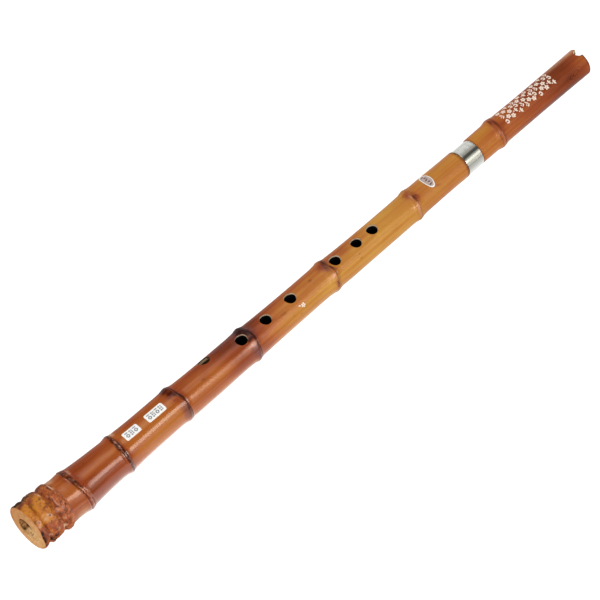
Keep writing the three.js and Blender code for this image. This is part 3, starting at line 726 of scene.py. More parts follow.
def paint(ob, bore_radius):
    """Gives a bamboo piece its colour zones as vertex values and sorts its faces by finish."""
    x, th, r = cylindrical(ob)
    surf = outer(x, th)
    phi = np.degrees(wrap(th - TH0))
    # painted shade: the tone is lowered on the upper flank (phi 0 to -150, fullest from -55 to -110) between about 112
    # and 460 mm
    side = smooth(0, -55, phi) * smooth(-150, -110, phi)
    tone = TONE(x) - 0.22 * side * smooth(112, 122, x) * (1 - smooth(400, 460, x))
    # painted light and shade on the lower flank (phi 5 to 140): the tone is raised from about 225 to 420 mm, a painted
    # sheen, and lowered below that, a painted shade
    tone = tone + 0.12 * smooth(5, 25, phi) * (1 - smooth(100, 140, phi)) * np.interp(x, [60, 100, 222, 242, 290, 375, 420], [-0.7, -0.7, -0.1, 1.0, 1, 0.6, 0])
    # the last term lightens a band round phi -16 between 60 and 108 mm: partly lighter bamboo, partly a painted sheen
    tone = tone + 0.06 * LOW(x * 1.4, th + 2) + 0.16 * np.exp(-(((phi + 16) / 14) ** 2)) * smooth(60, 66, x) * (1 - smooth(102, 108, x))
    stain = patch(x, th, "dark")
    line = np.zeros(len(x))
    nodal = np.zeros(len(x))
    for n in NODES:
        d = x - node_place(n, th)
        for at, half, strength in n["dark"]:
            line = np.maximum(line, strength * np.exp(-(((d - at) / half) ** 4)))
        nodal = np.maximum(nodal, np.exp(-((d / 3.6) ** 2)))
    scar = np.zeros(len(x))
    eye = np.zeros(len(x))
    burnt = stain * np.where(x < 40, 1.0, 0.5 * ((x > 270) & (x < 284.5) & (phi < -8)))
    stain = stain * (x >= 40)
    for x0, phi0, rad, h, kind in SCARS:
        near = np.abs(x - x0) < rad * 2
        d = blob(x[near], th[near], 24.3, x0, phi0, rad)
        if kind == "scar":
            scar[near] = np.maximum(scar[near], 0.6 - 0.6 * smooth(0.6, 1.15, d))
            eye[near] = np.maximum(eye[near], 0.8 * np.exp(-((d / 0.36) ** 2)))
        elif kind == "knob":
            burnt[near] = np.maximum(burnt[near], 0.6 * (1 - smooth(0.5, 1.1, d)))
        elif kind == "pit":
            eye[near] = np.maximum(eye[near], 0.7 * np.exp(-((d / 0.6) ** 2)))
    for x0, phi0, rad in BORE_SPOTS:
        near = (np.abs(x - x0) < rad * 2) & (r < 14)
        eye[near] = np.maximum(eye[near], np.exp(-(blob(x[near], th[near], 11.0, x0, phi0, rad) ** 2) * 1.2))
    # the beads take some of the pale scar colour: partly their own colour, partly a painted glint on each bead
    for x0, phi0, rad, h in BEADS:
        near = np.abs(x - x0) < rad * 2.5
        d = blob(x[near], th[near], float(STEM(x0)), x0, phi0, rad)
        scar[near] = np.maximum(scar[near], 0.4 * np.exp(-(d**2) * 2.2))
    shifted = groove_shift(x, th)
    # painted shade: the root's three grooves are darkened in their colour
    painted_groove_shade = np.where(x < 40, np.exp(-(((shifted - 9.9) / 1.1) ** 2)) + np.exp(-(((shifted - 25.3) / 1.3) ** 2)) + 0.7 * np.exp(-(((shifted - 37.2) / 0.7) ** 2)), 0)
    # the pink patches join the scar colour; many of them are painted highlights
    scar = np.maximum(scar, patch(x, th, "pink"))
    # amber on the upper part of the first two lobes, rust elsewhere
    root = (1 - smooth(19, 25, x + 2.5 * ROOT_LOW(x, th))) * smooth(-72, -58, phi + 6 * ROOT_LOW(x, th)) * (1 - smooth(6, 24, phi + 8 * ROOT_LOW(x, th + 1)))
    # the edges at the mouth and at the foot section's end are darkened all round
    rim = smooth(LENGTH - 1.6, LENGTH - 0.5, x) * (r > 12.5) + smooth(FOOT_END - 1.5, FOOT_END - 0.4, x) * (x < FOOT_END + 0.1)
    set_attribute(ob, "tone", np.clip(tone, 0, 1))
    set_attribute(ob, "stain", np.clip(stain, 0, 1))
    edge = (x > SHOULDER - 0.3) * (1 - smooth(SHOULDER + 0.6, SHOULDER + 1.4, x))
    set_attribute(ob, "line", np.clip(np.maximum(np.maximum(line, 0.92 * rim), 0.25 * edge), 0, 1))
    set_attribute(ob, "nodal", np.clip(nodal, 0, 1))
    set_attribute(ob, "root", np.clip(root, 0, 1) * (x < 60))
    set_attribute(ob, "lobes", (1 - smooth(35.5, 38.5, x)))
    set_attribute(ob, "blush", np.clip(patch(x, th, "red"), 0, 1))
    set_attribute(ob, "plum", np.clip(patch(x, th, "plum"), 0, 1))
    # pale: painted highlights and sheen
    set_attribute(ob, "pale", np.clip(patch(x, th, "pale"), 0, 1))
    # painted light: the lower half of the bore's mouth is marked to be lighter, the upper half stays darker as painted
    # shade
    set_attribute(ob, "low", smooth(-3.5, 3.5, r * np.sin(th - TH0) + 1.2 * LOW(x, th)))
    # painted shade: on the end faces the upper side is marked to be darker
    set_attribute(ob, "down", smooth(-20, 16, r * np.sin(th - TH0)))
    # the offset hole is seen at a grazing angle: its wall gets painted shade, darker than the other holes' walls, and
    # brown further in
    m = np.array([math.sin(math.radians(37)), math.cos(math.radians(37))])
    yz = np.stack([r * np.cos(th), r * np.sin(th)], -1)
    beside = yz[..., 0] * m[1] - yz[..., 1] * m[0]
    set_attribute(ob, "offset_hole_shade", ((np.hypot(x - 230.5, beside) < 8) & (yz @ m > 0)).astype(float))
    set_attribute(ob, "scar", np.clip(scar, 0, 1))
    set_attribute(ob, "eye", np.clip(eye, 0, 1))
    set_attribute(ob, "burnt", np.clip(burnt, 0, 1))
    set_attribute(ob, "painted_groove_shade", np.clip(painted_groove_shade * (0.75 - 0.6 * np.clip(root, 0, 1)), 0, 1))
    set_attribute(ob, "depth", np.clip(surf - r, 0, 20))
    set_attribute(ob, "from_foot", x * MM)
    # a wide knot's rings near the mouth
    dx, da = (x - 721.5) / 1.9, (wrap(th - TH0 - math.radians(23))) * 14.5
    swirl = np.sqrt(dx**2 + (da + 0.35 * dx) ** 2 + 0.3) + 0.55 * LOW(x * 9, th * 1)
    set_attribute(ob, "swirl", swirl)
    set_attribute(ob, "swirl_on", np.exp(-(((x - 718) / 11.0) ** 2) - ((wrap(th - TH0 - math.radians(18)) * 14.5) / 9.0) ** 2))
    # rougher finish from the middle up
    set_attribute(ob, "satin", np.interp(x, [34, 40, 56, 64, 190, 200, 262, 285, 400, 500, 620, 740], [1.0, 0.3, 0.2, 0.05, 0.1, 0.45, 0.35, 0.75, 0.95, 1.0, 1.0, 0.9]))
    # faces: 0 lacquered outside, 1 cut bamboo, 2 bore
    me = ob.data
    n = len(me.polygons)
    centre = np.zeros(n * 3, np.float32)
    me.polygons.foreach_get("center", centre)
    centre = centre.reshape(-1, 3).astype(float) / MM
    fx, fth, fr = centre[:, 0] + HALF, np.arctan2(centre[:, 2], centre[:, 1]), np.hypot(centre[:, 1], centre[:, 2])
    normal = np.zeros(n * 3, np.float32)
    me.polygons.foreach_get("normal", normal)
    normal = normal.reshape(-1, 3)
    under = outer(fx, fth) - fr
    kind = np.full(n, 1)
    kind[under < 0.16] = 0
    on_end = (np.abs(fx) < 0.02) | (np.abs(fx - LENGTH) < 0.02) | (np.abs(fx - FOOT_END) < 0.02)
    kind[on_end & (np.abs(normal[:, 0]) > 0.9)] = 1
    radial = normal[:, 1] * np.cos(fth) + normal[:, 2] * np.sin(fth)
    inner = (fr < bore_radius(fx, fth) + 0.35) & (radial < -0.2)
    kind[inner] = 2
    me.polygons.foreach_set("material_index", kind.astype(np.int32))
    me.update()


# ------------------------------------------------------------------ materials
class Graph:
    """Short spelling for shader nodes."""

    def __init__(self, name):
        self.mat = bpy.data.materials.new(name)
        self.mat.use_nodes = True
        self.t = self.mat.node_tree
        self.t.nodes.clear()
        self.out = self.t.nodes.new("ShaderNodeOutputMaterial")
        self.bsdf = self.t.nodes.new("ShaderNodeBsdfPrincipled")
        self.t.links.new(self.bsdf.outputs[0], self.out.inputs[0])
        self._coords = None

    def node(self, kind, **props):
        n = self.t.nodes.new(kind)
        for k, v in props.items():
            setattr(n, k, v)
        return n

    def link(self, a, b):
        self.t.links.new(a, b)

    def put(self, socket, value):
        if isinstance(value, bpy.types.NodeSocket):
            self.t.links.new(value, socket)
        elif isinstance(value, tuple) and len(value) == 3 and socket.type == "RGBA":
            socket.default_value = (*value, 1)
        else:
            socket.default_value = value

    def attr(self, name):
        return self.node("ShaderNodeAttribute", attribute_name=name).outputs["Fac"]

    def coords(self, scale):
        tc = self._coords or self.node("ShaderNodeTexCoord")
        self._coords = tc
        m = self.node("ShaderNodeMapping")
        m.inputs["Scale"].default_value = scale
        self.link(tc.outputs["Object"], m.inputs["Vector"])
        return m.outputs[0]

    def noise(self, scale, detail=3.0, rough=0.55, distort=0.0):
        n = self.node("ShaderNodeTexNoise")
        self.link(self.coords(scale), n.inputs["Vector"])
        n.inputs["Scale"].default_value = 1.0
        n.inputs["Detail"].default_value = detail
        n.inputs["Roughness"].default_value = rough
        n.inputs["Distortion"].default_value = distort
        return n.outputs["Fac"]

    def voronoi(self, scale, feature="F1", randomness=1.0):
        n = self.node("ShaderNodeTexVoronoi", feature=feature)
        self.link(self.coords(scale), n.inputs["Vector"])
        n.inputs["Scale"].default_value = 1.0
        n.inputs["Randomness"].default_value = randomness
        return n.outputs["Distance"]

    def math(self, op, a, b=0.0, c=None, clamp=False):
        n = self.node("ShaderNodeMath", operation=op, use_clamp=clamp)
        self.put(n.inputs[0], a)
        self.put(n.inputs[1], b)
        if c is not None:
            self.put(n.inputs[2], c)
        return n.outputs[0]

    def remap(self, v, a, b, lo=0.0, hi=1.0):
        n = self.node("ShaderNodeMapRange", interpolation_type="SMOOTHSTEP")
        self.put(n.inputs["Value"], v)
        n.inputs["From Min"].default_value = a
        n.inputs["From Max"].default_value = b
        n.inputs["To Min"].default_value = lo
        n.inputs["To Max"].default_value = hi
        return n.outputs["Result"]

    def mix(self, f, a, b, blend="MIX"):
        n = self.node("ShaderNodeMix", data_type="RGBA", blend_type=blend)
        self.put(n.inputs[0], f)
        self.put(n.inputs[6], a)
        self.put(n.inputs[7], b)
        return n.outputs[2]

    def ramp(self, f, stops):
        n = self.node("ShaderNodeValToRGB")
        while len(n.color_ramp.elements) > 1:
            n.color_ramp.elements.remove(n.color_ramp.elements[-1])
        for i, (p, c) in enumerate(stops):
            e = n.color_ramp.elements[0] if i == 0 else n.color_ramp.elements.new(p)
            e.position = p
            e.color = (*c, 1)
        self.put(n.inputs[0], f)
        return n.outputs[0]

    def bump(self, height, strength, distance, normal=None):
        n = self.node("ShaderNodeBump")
        n.inputs["Strength"].default_value = strength
        n.inputs["Distance"].default_value = distance
        self.put(n.inputs["Height"], height)
        if normal is not None:
            self.link(normal, n.inputs["Normal"])
        return n.outputs[0]

    def set(self, **values):
        for k, v in values.items():
            self.put(self.bsdf.inputs[k.replace("_", " ")], v)
        return self.mat


LIGHT = 0.97  # share of a white surface's brightness that the soft light gives


def seen(r, g, b):
    """Base colour that looks like that screen colour (0-255) under this scene's soft light."""
    out = []
    for c in (r, g, b):
        c /= 255.0
        lin = c / 12.92 if c <= 0.04045 else ((c + 0.055) / 1.055) ** 2.4
        out.append(min(max((lin - 0.004) / LIGHT, 0.0015), 0.98))
    return tuple(out)


def bamboo_material(name, gloss):
    g = Graph(name)
    fibre = g.noise((7, 900, 900), 2.0, 0.6)
    streak = g.noise((5, 330, 330), 3.0, 0.6)
    cloud = g.noise((22, 80, 80), 3.0, 0.55, 0.4)
    mottle = g.noise((420, 520, 520), 3.0, 0.6, 0.6)
    tone = g.math("ADD", g.attr("tone"), g.math("MULTIPLY", g.math("SUBTRACT", cloud, 0.5), 0.42))
    tone = g.math("ADD", tone, g.math("MULTIPLY", g.math("SUBTRACT", streak, 0.5), 0.45))
    col = g.ramp(tone, [(0.0, seen(118, 50, 18)), (0.25, seen(150, 68, 30)), (0.5, seen(176, 96, 38)), (0.75, seen(190, 122, 42)), (1.0, seen(206, 149, 58))])
    col = g.mix(g.remap(fibre, 0.4, 0.7, 0.0, 0.16), col, g.mix(0.5, col, seen(90, 40, 18)))
    # dark flecks, few and drawn out along the stem
    fleck = g.voronoi((95, 330, 330))
    keep = g.remap(g.noise((40, 130, 130), 1.0), 0.58, 0.64)
    fleck = g.math("MULTIPLY", g.remap(fleck, 0.2, 0.08), keep)
    col = g.mix(g.math("MULTIPLY", fleck, 0.6), col, seen(95, 38, 20))
    # the root's own colours
    yellow = g.ramp(g.noise((130, 150, 150), 4.0, 0.6, 0.5), [(0.30, seen(130, 62, 8)), (0.42, seen(178, 96, 14)), (0.58, seen(202, 126, 24)), (0.72, seen(184, 92, 22))])
    rust = g.ramp(g.noise((240, 260, 260), 4.0, 0.65, 0.8), [(0.30, seen(98, 40, 8)), (0.42, seen(147, 67, 16)), (0.56, seen(180, 88, 28)), (0.72, seen(210, 134, 74))])
    lobe = g.mix(g.attr("root"), rust, yellow)
    col = g.mix(g.attr("lobes"), col, lobe)
    spots = g.remap(g.voronoi((330, 360, 360)), 0.34, 0.12)
    spots = g.math("MULTIPLY", spots, g.math("MULTIPLY", g.attr("lobes"), g.remap(mottle, 0.40, 0.54)))
    col = g.mix(g.math("MULTIPLY", spots, 0.8), col, seen(92, 36, 14))
    # painted shade in the root's grooves
    col = g.mix(g.math("MULTIPLY", g.attr("painted_groove_shade"), g.remap(mottle, 0.35, 0.6, 0.15, 0.6)), col, seen(110, 54, 24))
    # redder bamboo at the nodes, then the marks and grooves
    col = g.mix(g.math("MULTIPLY", g.attr("nodal"), g.remap(mottle, 0.3, 0.7, 0.15, 0.4)), col, seen(146, 70, 40))
    blush = g.ramp(mottle, [(0.35, seen(118, 42, 22)), (0.65, seen(164, 76, 44))])
    col = g.mix(g.math("MULTIPLY", g.attr("blush"), g.remap(mottle, 0.25, 0.55, 0.55, 1.0)), col, blush)
    plum = g.ramp(mottle, [(0.35, seen(84, 44, 42)), (0.65, seen(130, 74, 68))])
    col = g.mix(g.math("MULTIPLY", g.attr("plum"), g.remap(mottle, 0.25, 0.55, 0.55, 0.95)), col, plum)
    dark = g.math("MULTIPLY", g.attr("stain"), g.remap(g.noise((110, 260, 260), 3.0, 0.6), 0.25, 0.6, 0.7, 1.25))
    col = g.mix(g.math("MINIMUM", dark, 0.95), col, seen(68, 24, 11))
    ring = g.math("MULTIPLY", g.attr("line"), g.remap(mottle, 0.25, 0.6, 0.65, 1.05))
    col = g.mix(g.math("MINIMUM", ring, 0.95), col, seen(62, 23, 11))
    # pale pinkish scars, together with painted highlights from the pink patches and the beads
    col = g.mix(g.math("MULTIPLY", g.attr("scar"), 0.9), col, g.ramp(mottle, [(0.35, seen(190, 118, 92)), (0.65, seen(224, 172, 148))]))
    # painted highlights and sheen from the pale patches
    col = g.mix(g.math("MULTIPLY", g.attr("pale"), g.remap(streak, 0.3, 0.66, 0.6, 1.05)), col, seen(228, 188, 150))
    burnt = g.math("MULTIPLY", g.attr("burnt"), g.remap(mottle, 0.25, 0.6, 0.7, 1.2))
    col = g.mix(g.math("MINIMUM", burnt, 0.97), col, seen(36, 13, 3))
    col = g.mix(g.math("MULTIPLY", g.attr("eye"), 0.85), col, seen(66, 26, 18))
    # rings of a knot near the mouth
    wave = g.math("SINE", g.math("MULTIPLY", g.attr("swirl"), 3.3))
    wave = g.math("MULTIPLY", g.remap(wave, 0.25, 0.95), g.attr("swirl_on"))
    col = g.mix(g.math("MULTIPLY", wave, 0.9), col, seen(84, 34, 10))
    rough = g.math("ADD", g.math("MULTIPLY", g.attr("satin"), 0.2), g.remap(streak, 0.3, 0.7, 0.12, 0.15))
    rough = g.math("ADD", rough, g.math("MULTIPLY", g.math("MAXIMUM", g.attr("lobes"), g.attr("burnt")), 0.22))
    n1 = g.bump(fibre, 0.02, 0.0001)
    n2 = g.bump(g.math("MULTIPLY", streak, g.attr("satin")), 0.03, 0.0004, n1)
    n3 = g.bump(g.math("MULTIPLY", mottle, g.math("ADD", g.math("MULTIPLY", g.attr("lobes"), 0.8), g.math("MULTIPLY", g.attr("nodal"), 0.15))), 0.6, 0.0007, n2)
    return g.set(Base_Color=col, Roughness=rough, Normal=n3, IOR=1.5, Specular_IOR_Level=gloss)


def face_material():
    """Sawn end faces."""
    g = Graph("end_grain")
    pores = g.remap(g.voronoi((60, 1300, 1300)), 0.12, 0.34)
    grain = g.noise((60, 260, 260), 4.0, 0.6)
    col = g.ramp(grain, [(0.3, seen(196, 138, 80)), (0.5, seen(214, 158, 96)), (0.7, seen(224, 172, 112))])
    col = g.mix(g.math("MULTIPLY", g.math("SUBTRACT", 1.0, pores), 0.35), col, seen(168, 108, 58))
    # painted shade: the end face is darker towards its upper side
    dim = g.ramp(grain, [(0.3, seen(172, 106, 48)), (0.5, seen(192, 128, 66)), (0.7, seen(206, 146, 82))])
    col = g.mix(g.math("MULTIPLY", g.math("SUBTRACT", 1.0, g.attr("down")), 0.9), col, dim)
    col = g.mix(g.remap(g.attr("depth"), 1.3, 0.2, 0.0, 0.7), col, seen(190, 112, 44))
    n = g.bump(g.noise((200, 700, 700), 3.0), 0.25, 0.0004)
    return g.set(Base_Color=col, Roughness=0.5, Normal=n, IOR=1.45, Specular_IOR_Level=0.3)


def wall_material():
    """Cut walls of the finger holes: pale near the surface, black from about 2 mm down. The offset hole's wall has
    painted shade instead: darker, brown further in, with dark ends.
    """
    g = Graph("hole_wall")
    depth = g.attr("depth")
    grain = g.noise((150, 700, 700), 3.0, 0.6)
    pale = g.ramp(grain, [(0.3, seen(206, 178, 144)), (0.7, seen(240, 216, 186))])
    brown = g.ramp(grain, [(0.3, seen(150, 122, 92)), (0.7, seen(206, 178, 142))])
    col = g.mix(g.remap(depth, 0.25, 0.5), seen(150, 96, 52), pale)
    col = g.mix(g.remap(depth, 1.5, 2.1), col, seen(110, 84, 50))
    col = g.mix(g.remap(depth, 1.9, 2.5), col, (0.004, 0.004, 0.005))
    # painted shade for the offset hole's wall: dark at the rim and at both ends, brown further in, black deep down
    far = g.mix(g.remap(depth, 0.7, 1.5), seen(62, 40, 24), brown)
    far = g.mix(g.remap(g.attr("from_foot"), 0.2275, 0.2255), far, seen(66, 46, 30))
    far = g.mix(g.remap(g.attr("from_foot"), 0.2352, 0.2368), far, seen(66, 46, 30))
    far = g.mix(g.remap(depth, 2.6, 3.6), far, seen(74, 54, 34))
    far = g.mix(g.remap(depth, 4.5, 6.5), far, (0.004, 0.004, 0.005))
    col = g.mix(g.attr("offset_hole_shade"), col, far)
    return g.set(Base_Color=col, Roughness=0.5, IOR=1.45, Specular_IOR_Level=0.2)


def bore_material():
    g = Graph("bore_inside")
    mott = g.noise((260, 300, 300), 4.0, 0.65, 0.7)
    wood = g.ramp(mott, [(0.3, seen(104, 64, 32)), (0.46, seen(158, 108, 58)), (0.62, seen(196, 150, 92)), (0.75, seen(150, 128, 84))])
    # painted light: lighter wood, with fewer pits, on the lower half of the bore's mouth
    wood = g.mix(g.attr("low"), wood, g.ramp(mott, [(0.3, seen(214, 162, 104)), (0.46, seen(244, 196, 132)), (0.62, seen(252, 212, 156)), (0.75, seen(232, 198, 140))]))
    pits = g.remap(g.voronoi((420, 420, 420)), 0.36, 0.16)
    pits = g.math("MULTIPLY", pits, g.math("SUBTRACT", 0.8, g.math("MULTIPLY", g.attr("low"), 0.55)))
    wood = g.mix(pits, wood, seen(70, 40, 22))
    wood = g.mix(g.math("MULTIPLY", g.attr("eye"), 0.9), wood, seen(56, 30, 14))
    # black further in than 10 to 20 mm from the foot face
    col = g.mix(g.remap(g.attr("from_foot"), 0.010, 0.020), wood, (0.010, 0.008, 0.008))
    n = g.bump(mott, 0.5, 0.001)
    return g.set(Base_Color=col, Roughness=0.45, Normal=n, IOR=1.5, Specular_IOR_Level=0.25)


def band_material():
    g = Graph("silver_band")
    brush = g.noise((30, 60, 60), 3.0, 0.6)
    fine = g.noise((2600, 90, 90), 2.0, 0.5)
    col = g.ramp(brush, [(0.3, (0.84, 0.84, 0.79)), (0.7, (0.93, 0.93, 0.88))])
    rough = g.remap(brush, 0.3, 0.7, 0.05, 0.08)
    n = g.bump(fine, 0.05, 0.0002)
    return g.set(Base_Color=col, Metallic=1.0, Roughness=rough, Normal=n)


def tube_material():
    g = Graph("joint_tube")
    turned = g.noise((3200, 30, 30), 2.0, 0.5)
    smear = g.noise((120, 160, 160), 3.0, 0.6)
    col = g.ramp(smear, [(0.3, (0.58, 0.57, 0.52)), (0.7, (0.74, 0.72, 0.66))])
    n = g.bump(turned, 0.12, 0.0003)
    return g.set(Base_Color=col, Metallic=1.0, Roughness=g.remap(smear, 0.3, 0.7, 0.22, 0.4), Normal=n)


def label_material(name, light, dark, metallic=0.0, rough=0.4):
    g = Graph(name)
    tint = g.noise((260, 260, 260), 3.0, 0.6)
    col = g.ramp(tint, [(0.3, dark), (0.7, light)])
    n = g.bump(g.noise((1800, 1800, 1800), 2.0), 0.06, 0.0002)
    return g.set(Base_Color=col, Metallic=metallic, Roughness=rough, Normal=n, Specular_IOR_Level=0.25)


def ink_material(name, light, dark, rough=0.5):
    g = Graph(name)
    tint = g.noise((1400, 1400, 1400), 3.0, 0.6)
    col = g.ramp(tint, [(0.35, dark), (0.65, light)])
    return g.set(Base_Color=col, Roughness=rough, Specular_IOR_Level=0.2)


# ------------------------------------------------------------------ thin pieces laid on the stem
def outline_rect(length, width, corner, n=8):
    a, b, c = length / 2, width / 2, corner
    pts = []
    for cx, cy, start in ((a - c, b - c, 0), (-a + c, b - c, 90), (-a + c, -b + c, 180), (a - c, -b + c, 270)):
        for k in range(n + 1):
            t = math.radians(start + 90 * k / n)
            pts.append((cx + c * math.cos(t), cy + c * math.sin(t)))
    out = []
    for i, p in enumerate(pts):  # more points along the long sides
        q = pts[(i + 1) % len(pts)]
        d = math.dist(p, q)
        m = max(1, int(d / 1.2))
        for k in range(m):
            out.append((p[0] + (q[0] - p[0]) * k / m, p[1] + (q[1] - p[1]) * k / m))
    return np.array(out)


def outline_ellipse(length, width, n=64):
    t = np.arange(n) * 2 * math.pi / n
    return np.stack([length / 2 * np.cos(t), width / 2 * np.sin(t)], -1)


def outline_leaf(length, width, n=12):
    t = np.linspace(0, 1, n + 1)
    up = np.stack([length * (t - 0.5), width / 2 * np.sin(math.pi * t) ** 0.8], -1)
    return np.concatenate([up[:-1], up[::-1][:-1] * [1, -1]])[::-1]


class Layer:
    """Collects thin closed bodies that follow the stem and makes one mesh of them."""

    def __init__(self, name):
        self.name, self.v, self.f = name, [], []

    def add(self, outline, at, phi, turn=0.0, low=-0.06, high=0.3, rings=5, hole=0.0, bevel=0.12, shift=(0.0, 0.0)):
        """outline is in (along, round) millimetres about the point (at, phi); hole is the share of it left open in the middle."""
        c, s = math.cos(math.radians(turn)), math.sin(math.radians(turn))
        o = np.asarray(outline, float)
        o = np.stack([o[:, 0] * c - o[:, 1] * s, o[:, 0] * s + o[:, 1] * c], -1)
        size = max(float(np.abs(o).max()), 1e-6)
        base = sum(len(v) for v in self.v)
        n = len(o)
        radius = float(outer(at, TH0 + math.radians(phi)))

        def lay(scale, lift):
            p = o * scale + np.array(shift)
            x = at + p[:, 0]
            th = TH0 + math.radians(phi) + p[:, 1] / radius
            return point(x, th, outer(x, th) + lift)

        b = min(bevel / size, 0.3)
        top = [(1.0, high - bevel), (1 - b * 0.3, high - bevel * 0.3), (1 - b, high)]
        inner = hole if hole else None
        ks = np.linspace(1 - b, inner + b if inner else 0, rings + 1)[1:]
        rows = [lay(1.0, low)] + [lay(sc, h) for sc, h in top]
        if inner:
            rows += [lay(k, high) for k in ks]
            rows += [lay(inner + b * 0.3, high - bevel * 0.3), lay(inner, high - bevel), lay(inner, low)]
            rows = np.array(rows)
            k = len(rows)
            self.v.append(rows.reshape(-1, 3))
            for i in range(k):
                for j in range(n):
                    self.f.append([base + i * n + j, base + i * n + (j + 1) % n, base + ((i + 1) % k) * n + (j + 1) % n, base + ((i + 1) % k) * n + j])
            return
        rows += [lay(k, high) for k in ks[:-1]]
        rows_top = len(rows)
        rows += [lay(k, low) for k in np.linspace(1, 0, rings + 1)[1:-1]]
        v = np.concatenate([np.array(rows).reshape(-1, 3), lay(0.0, high)[:1], lay(0.0, low)[:1]])
        self.v.append(v)
        cap_t, cap_b = base + len(rows) * n, base + len(rows) * n + 1
        order = list(range(rows_top))
        for a, b2 in zip(order[:-1], order[1:]):
            for j in range(n):
                self.f.append([base + a * n + j, base + a * n + (j + 1) % n, base + b2 * n + (j + 1) % n, base + b2 * n + j])
        last = rows_top - 1
        for j in range(n):
            self.f.append([base + last * n + j, base + last * n + (j + 1) % n, cap_t])
        lower = [0] + list(range(rows_top, len(rows)))
        for a, b2 in zip(lower[:-1], lower[1:]):
            for j in range(n):
                self.f.append([base + a * n + (j + 1) % n, base + a * n + j, base + b2 * n + j, base + b2 * n + (j + 1) % n])
        last = lower[-1]
        for j in range(n):
            self.f.append([base + last * n + (j + 1) % n, base + last * n + j, cap_b])

    def make(self, angle=40):
        ob = new_mesh(self.name, np.concatenate(self.v), self.f)
        bm = bmesh.new()
        bm.from_mesh(ob.data)
        bmesh.ops.remove_doubles(bm, verts=bm.verts, dist=1e-7)
        bmesh.ops.recalc_face_normals(bm, faces=bm.faces)
        bm.to_mesh(ob.data)
        bm.free()
        sharpen(ob, angle)
        return ob


def phi_of(degrees_from_z_to_y):
    return -25.2 - degrees_from_z_to_y


def blossom(layer, at, phi, size, turn=0.0, high=0.05):
    """Five petals round an open centre."""
    for k in range(5):
        a = math.radians(turn + 72 * k)
        layer.add(outline_ellipse(size * 0.46, size * 0.36, 14), at, phi, turn + 72 * k, -0.08, high, 2, 0.0, 0.03,
                  (0.30 * size * math.cos(a), 0.30 * size * math.sin(a)))


def leaf(layer, at, phi, length, width, turn, high=0.05):
    layer.add(outline_leaf(length, width), at, phi, turn, -0.08, high, 2, 0.0, 0.03)


def stem_line(layer, pts, width, high=0.045):
    """A thin painted line through (distance, phi) points."""
    p = np.array(pts, float)
    n = len(p)
    mid = np.array([outer(a, TH0 + math.radians(b)) for a, b in p])
    flat = np.stack([p[:, 0], np.radians(p[:, 1]) * mid], -1)
    d = np.gradient(flat, axis=0)
    d /= np.linalg.norm(d, axis=1)[:, None]
    side = np.stack([-d[:, 1], d[:, 0]], -1)
    w = width / 2 * np.sin(np.linspace(0.15, math.pi - 0.15, n)) ** 0.4
    rows = []
    for off, lift in ((1, -0.08), (1, high * 0.5), (0.4, high), (-0.4, high), (-1, high * 0.5), (-1, -0.08)):
        q = flat + side * (w * off)[:, None]
        th = TH0 + q[:, 1] / mid
        rows.append(point(q[:, 0], th, outer(q[:, 0], th) + lift))
    v = np.array(rows)  # 6 rows of n points
    base = sum(len(x) for x in layer.v)
    layer.v.append(v.reshape(-1, 3))
    for i in range(6):
        for j in range(n - 1):
            layer.f.append([base + i * n + j, base + i * n + j + 1, base + ((i + 1) % 6) * n + j + 1, base + ((i + 1) % 6) * n + j])
    layer.f.append([base + i * n for i in range(6)])
    layer.f.append([base + i * n + n - 1 for i in range(6)][::-1])


# ------------------------------------------------------------------ camera, light and floor
def aim(ob, direction):
    ob.rotation_mode = "QUATERNION"
    ob.rotation_quaternion = Vector(direction).to_track_quat("-Z", "Y")


AZ, EL = math.radians(-45.7), math.radians(56.0)
BACK = Vector((math.sin(AZ) * math.cos(EL), -math.cos(AZ) * math.cos(EL), math.sin(EL)))
TARGET = Vector((-0.0229, 0.0, 0.0))
cam_data = bpy.data.cameras.new("camera")
cam_data.lens, cam_data.sensor_width = 210.0, 36.0
cam_data.clip_start, cam_data.clip_end = 0.05, 60.0
cam = bpy.data.objects.new("camera", cam_data)
cam.location = TARGET + BACK * 3.2746
aim(cam, -BACK)
bpy.context.scene.collection.objects.link(cam)
bpy.context.scene.camera = cam


world = bpy.data.worlds.new("studio")
bpy.context.scene.world = world
world.use_nodes = True
world.node_tree.nodes["Background"].inputs[0].default_value = (1, 1, 1, 1)
world.node_tree.nodes["Background"].inputs[1].default_value = 0.04

view_settings = bpy.context.scene.view_settings
view_settings.view_transform = "Standard"
view_settings.look = "None"
view_settings.exposure = 0.0


def glow(name, level, colour=(1.0, 1.0, 1.0)):
    """Emission-only material. level(g, x, y, z) gives its strength from object coordinates."""
    g = Graph(name)
    tc = g.node("ShaderNodeTexCoord")
    sep = g.node("ShaderNodeSeparateXYZ")
    g.link(tc.outputs["Object"], sep.inputs[0])
    emit = g.node("ShaderNodeEmission")
    g.put(emit.inputs[0], colour)
    g.put(emit.inputs[1], level(g, sep.outputs["X"], sep.outputs["Y"], sep.outputs["Z"]))
    g.link(emit.outputs[0], g.out.inputs[0])
    g.t.nodes.remove(g.bsdf)
    return g.mat


def levels(g, value, stops):
    """Straight-line curve through (place, level) stops, levels up to 20."""
    ramp = g.ramp(value, [(p, (v / 20.0,) * 3) for p, v in sorted(stops)])
    return g.math("MULTIPLY", ramp, 20.0)


def tent():
    """A large white light tent round the table. It lights and backs the scene; the cards below do the mirroring."""
    bm = bmesh.new()
    bmesh.ops.create_icosphere(bm, subdivisions=4, radius=1.0)
    me = bpy.data.meshes.new("light_tent")
    bm.to_mesh(me)
    bm.free()
    ob = bpy.data.objects.new("light_tent", me)
    ob.scale = (9.0, 9.0, 9.0)
    bpy.context.scene.collection.objects.link(ob)
    # a little brighter on the near side
    me.materials.append(glow("tent_white", lambda g, x, y, z: g.math("ADD", 0.98, g.math("MULTIPLY", y, -0.10))))
    ob.visible_glossy = False
    ob.visible_shadow = False


tent()


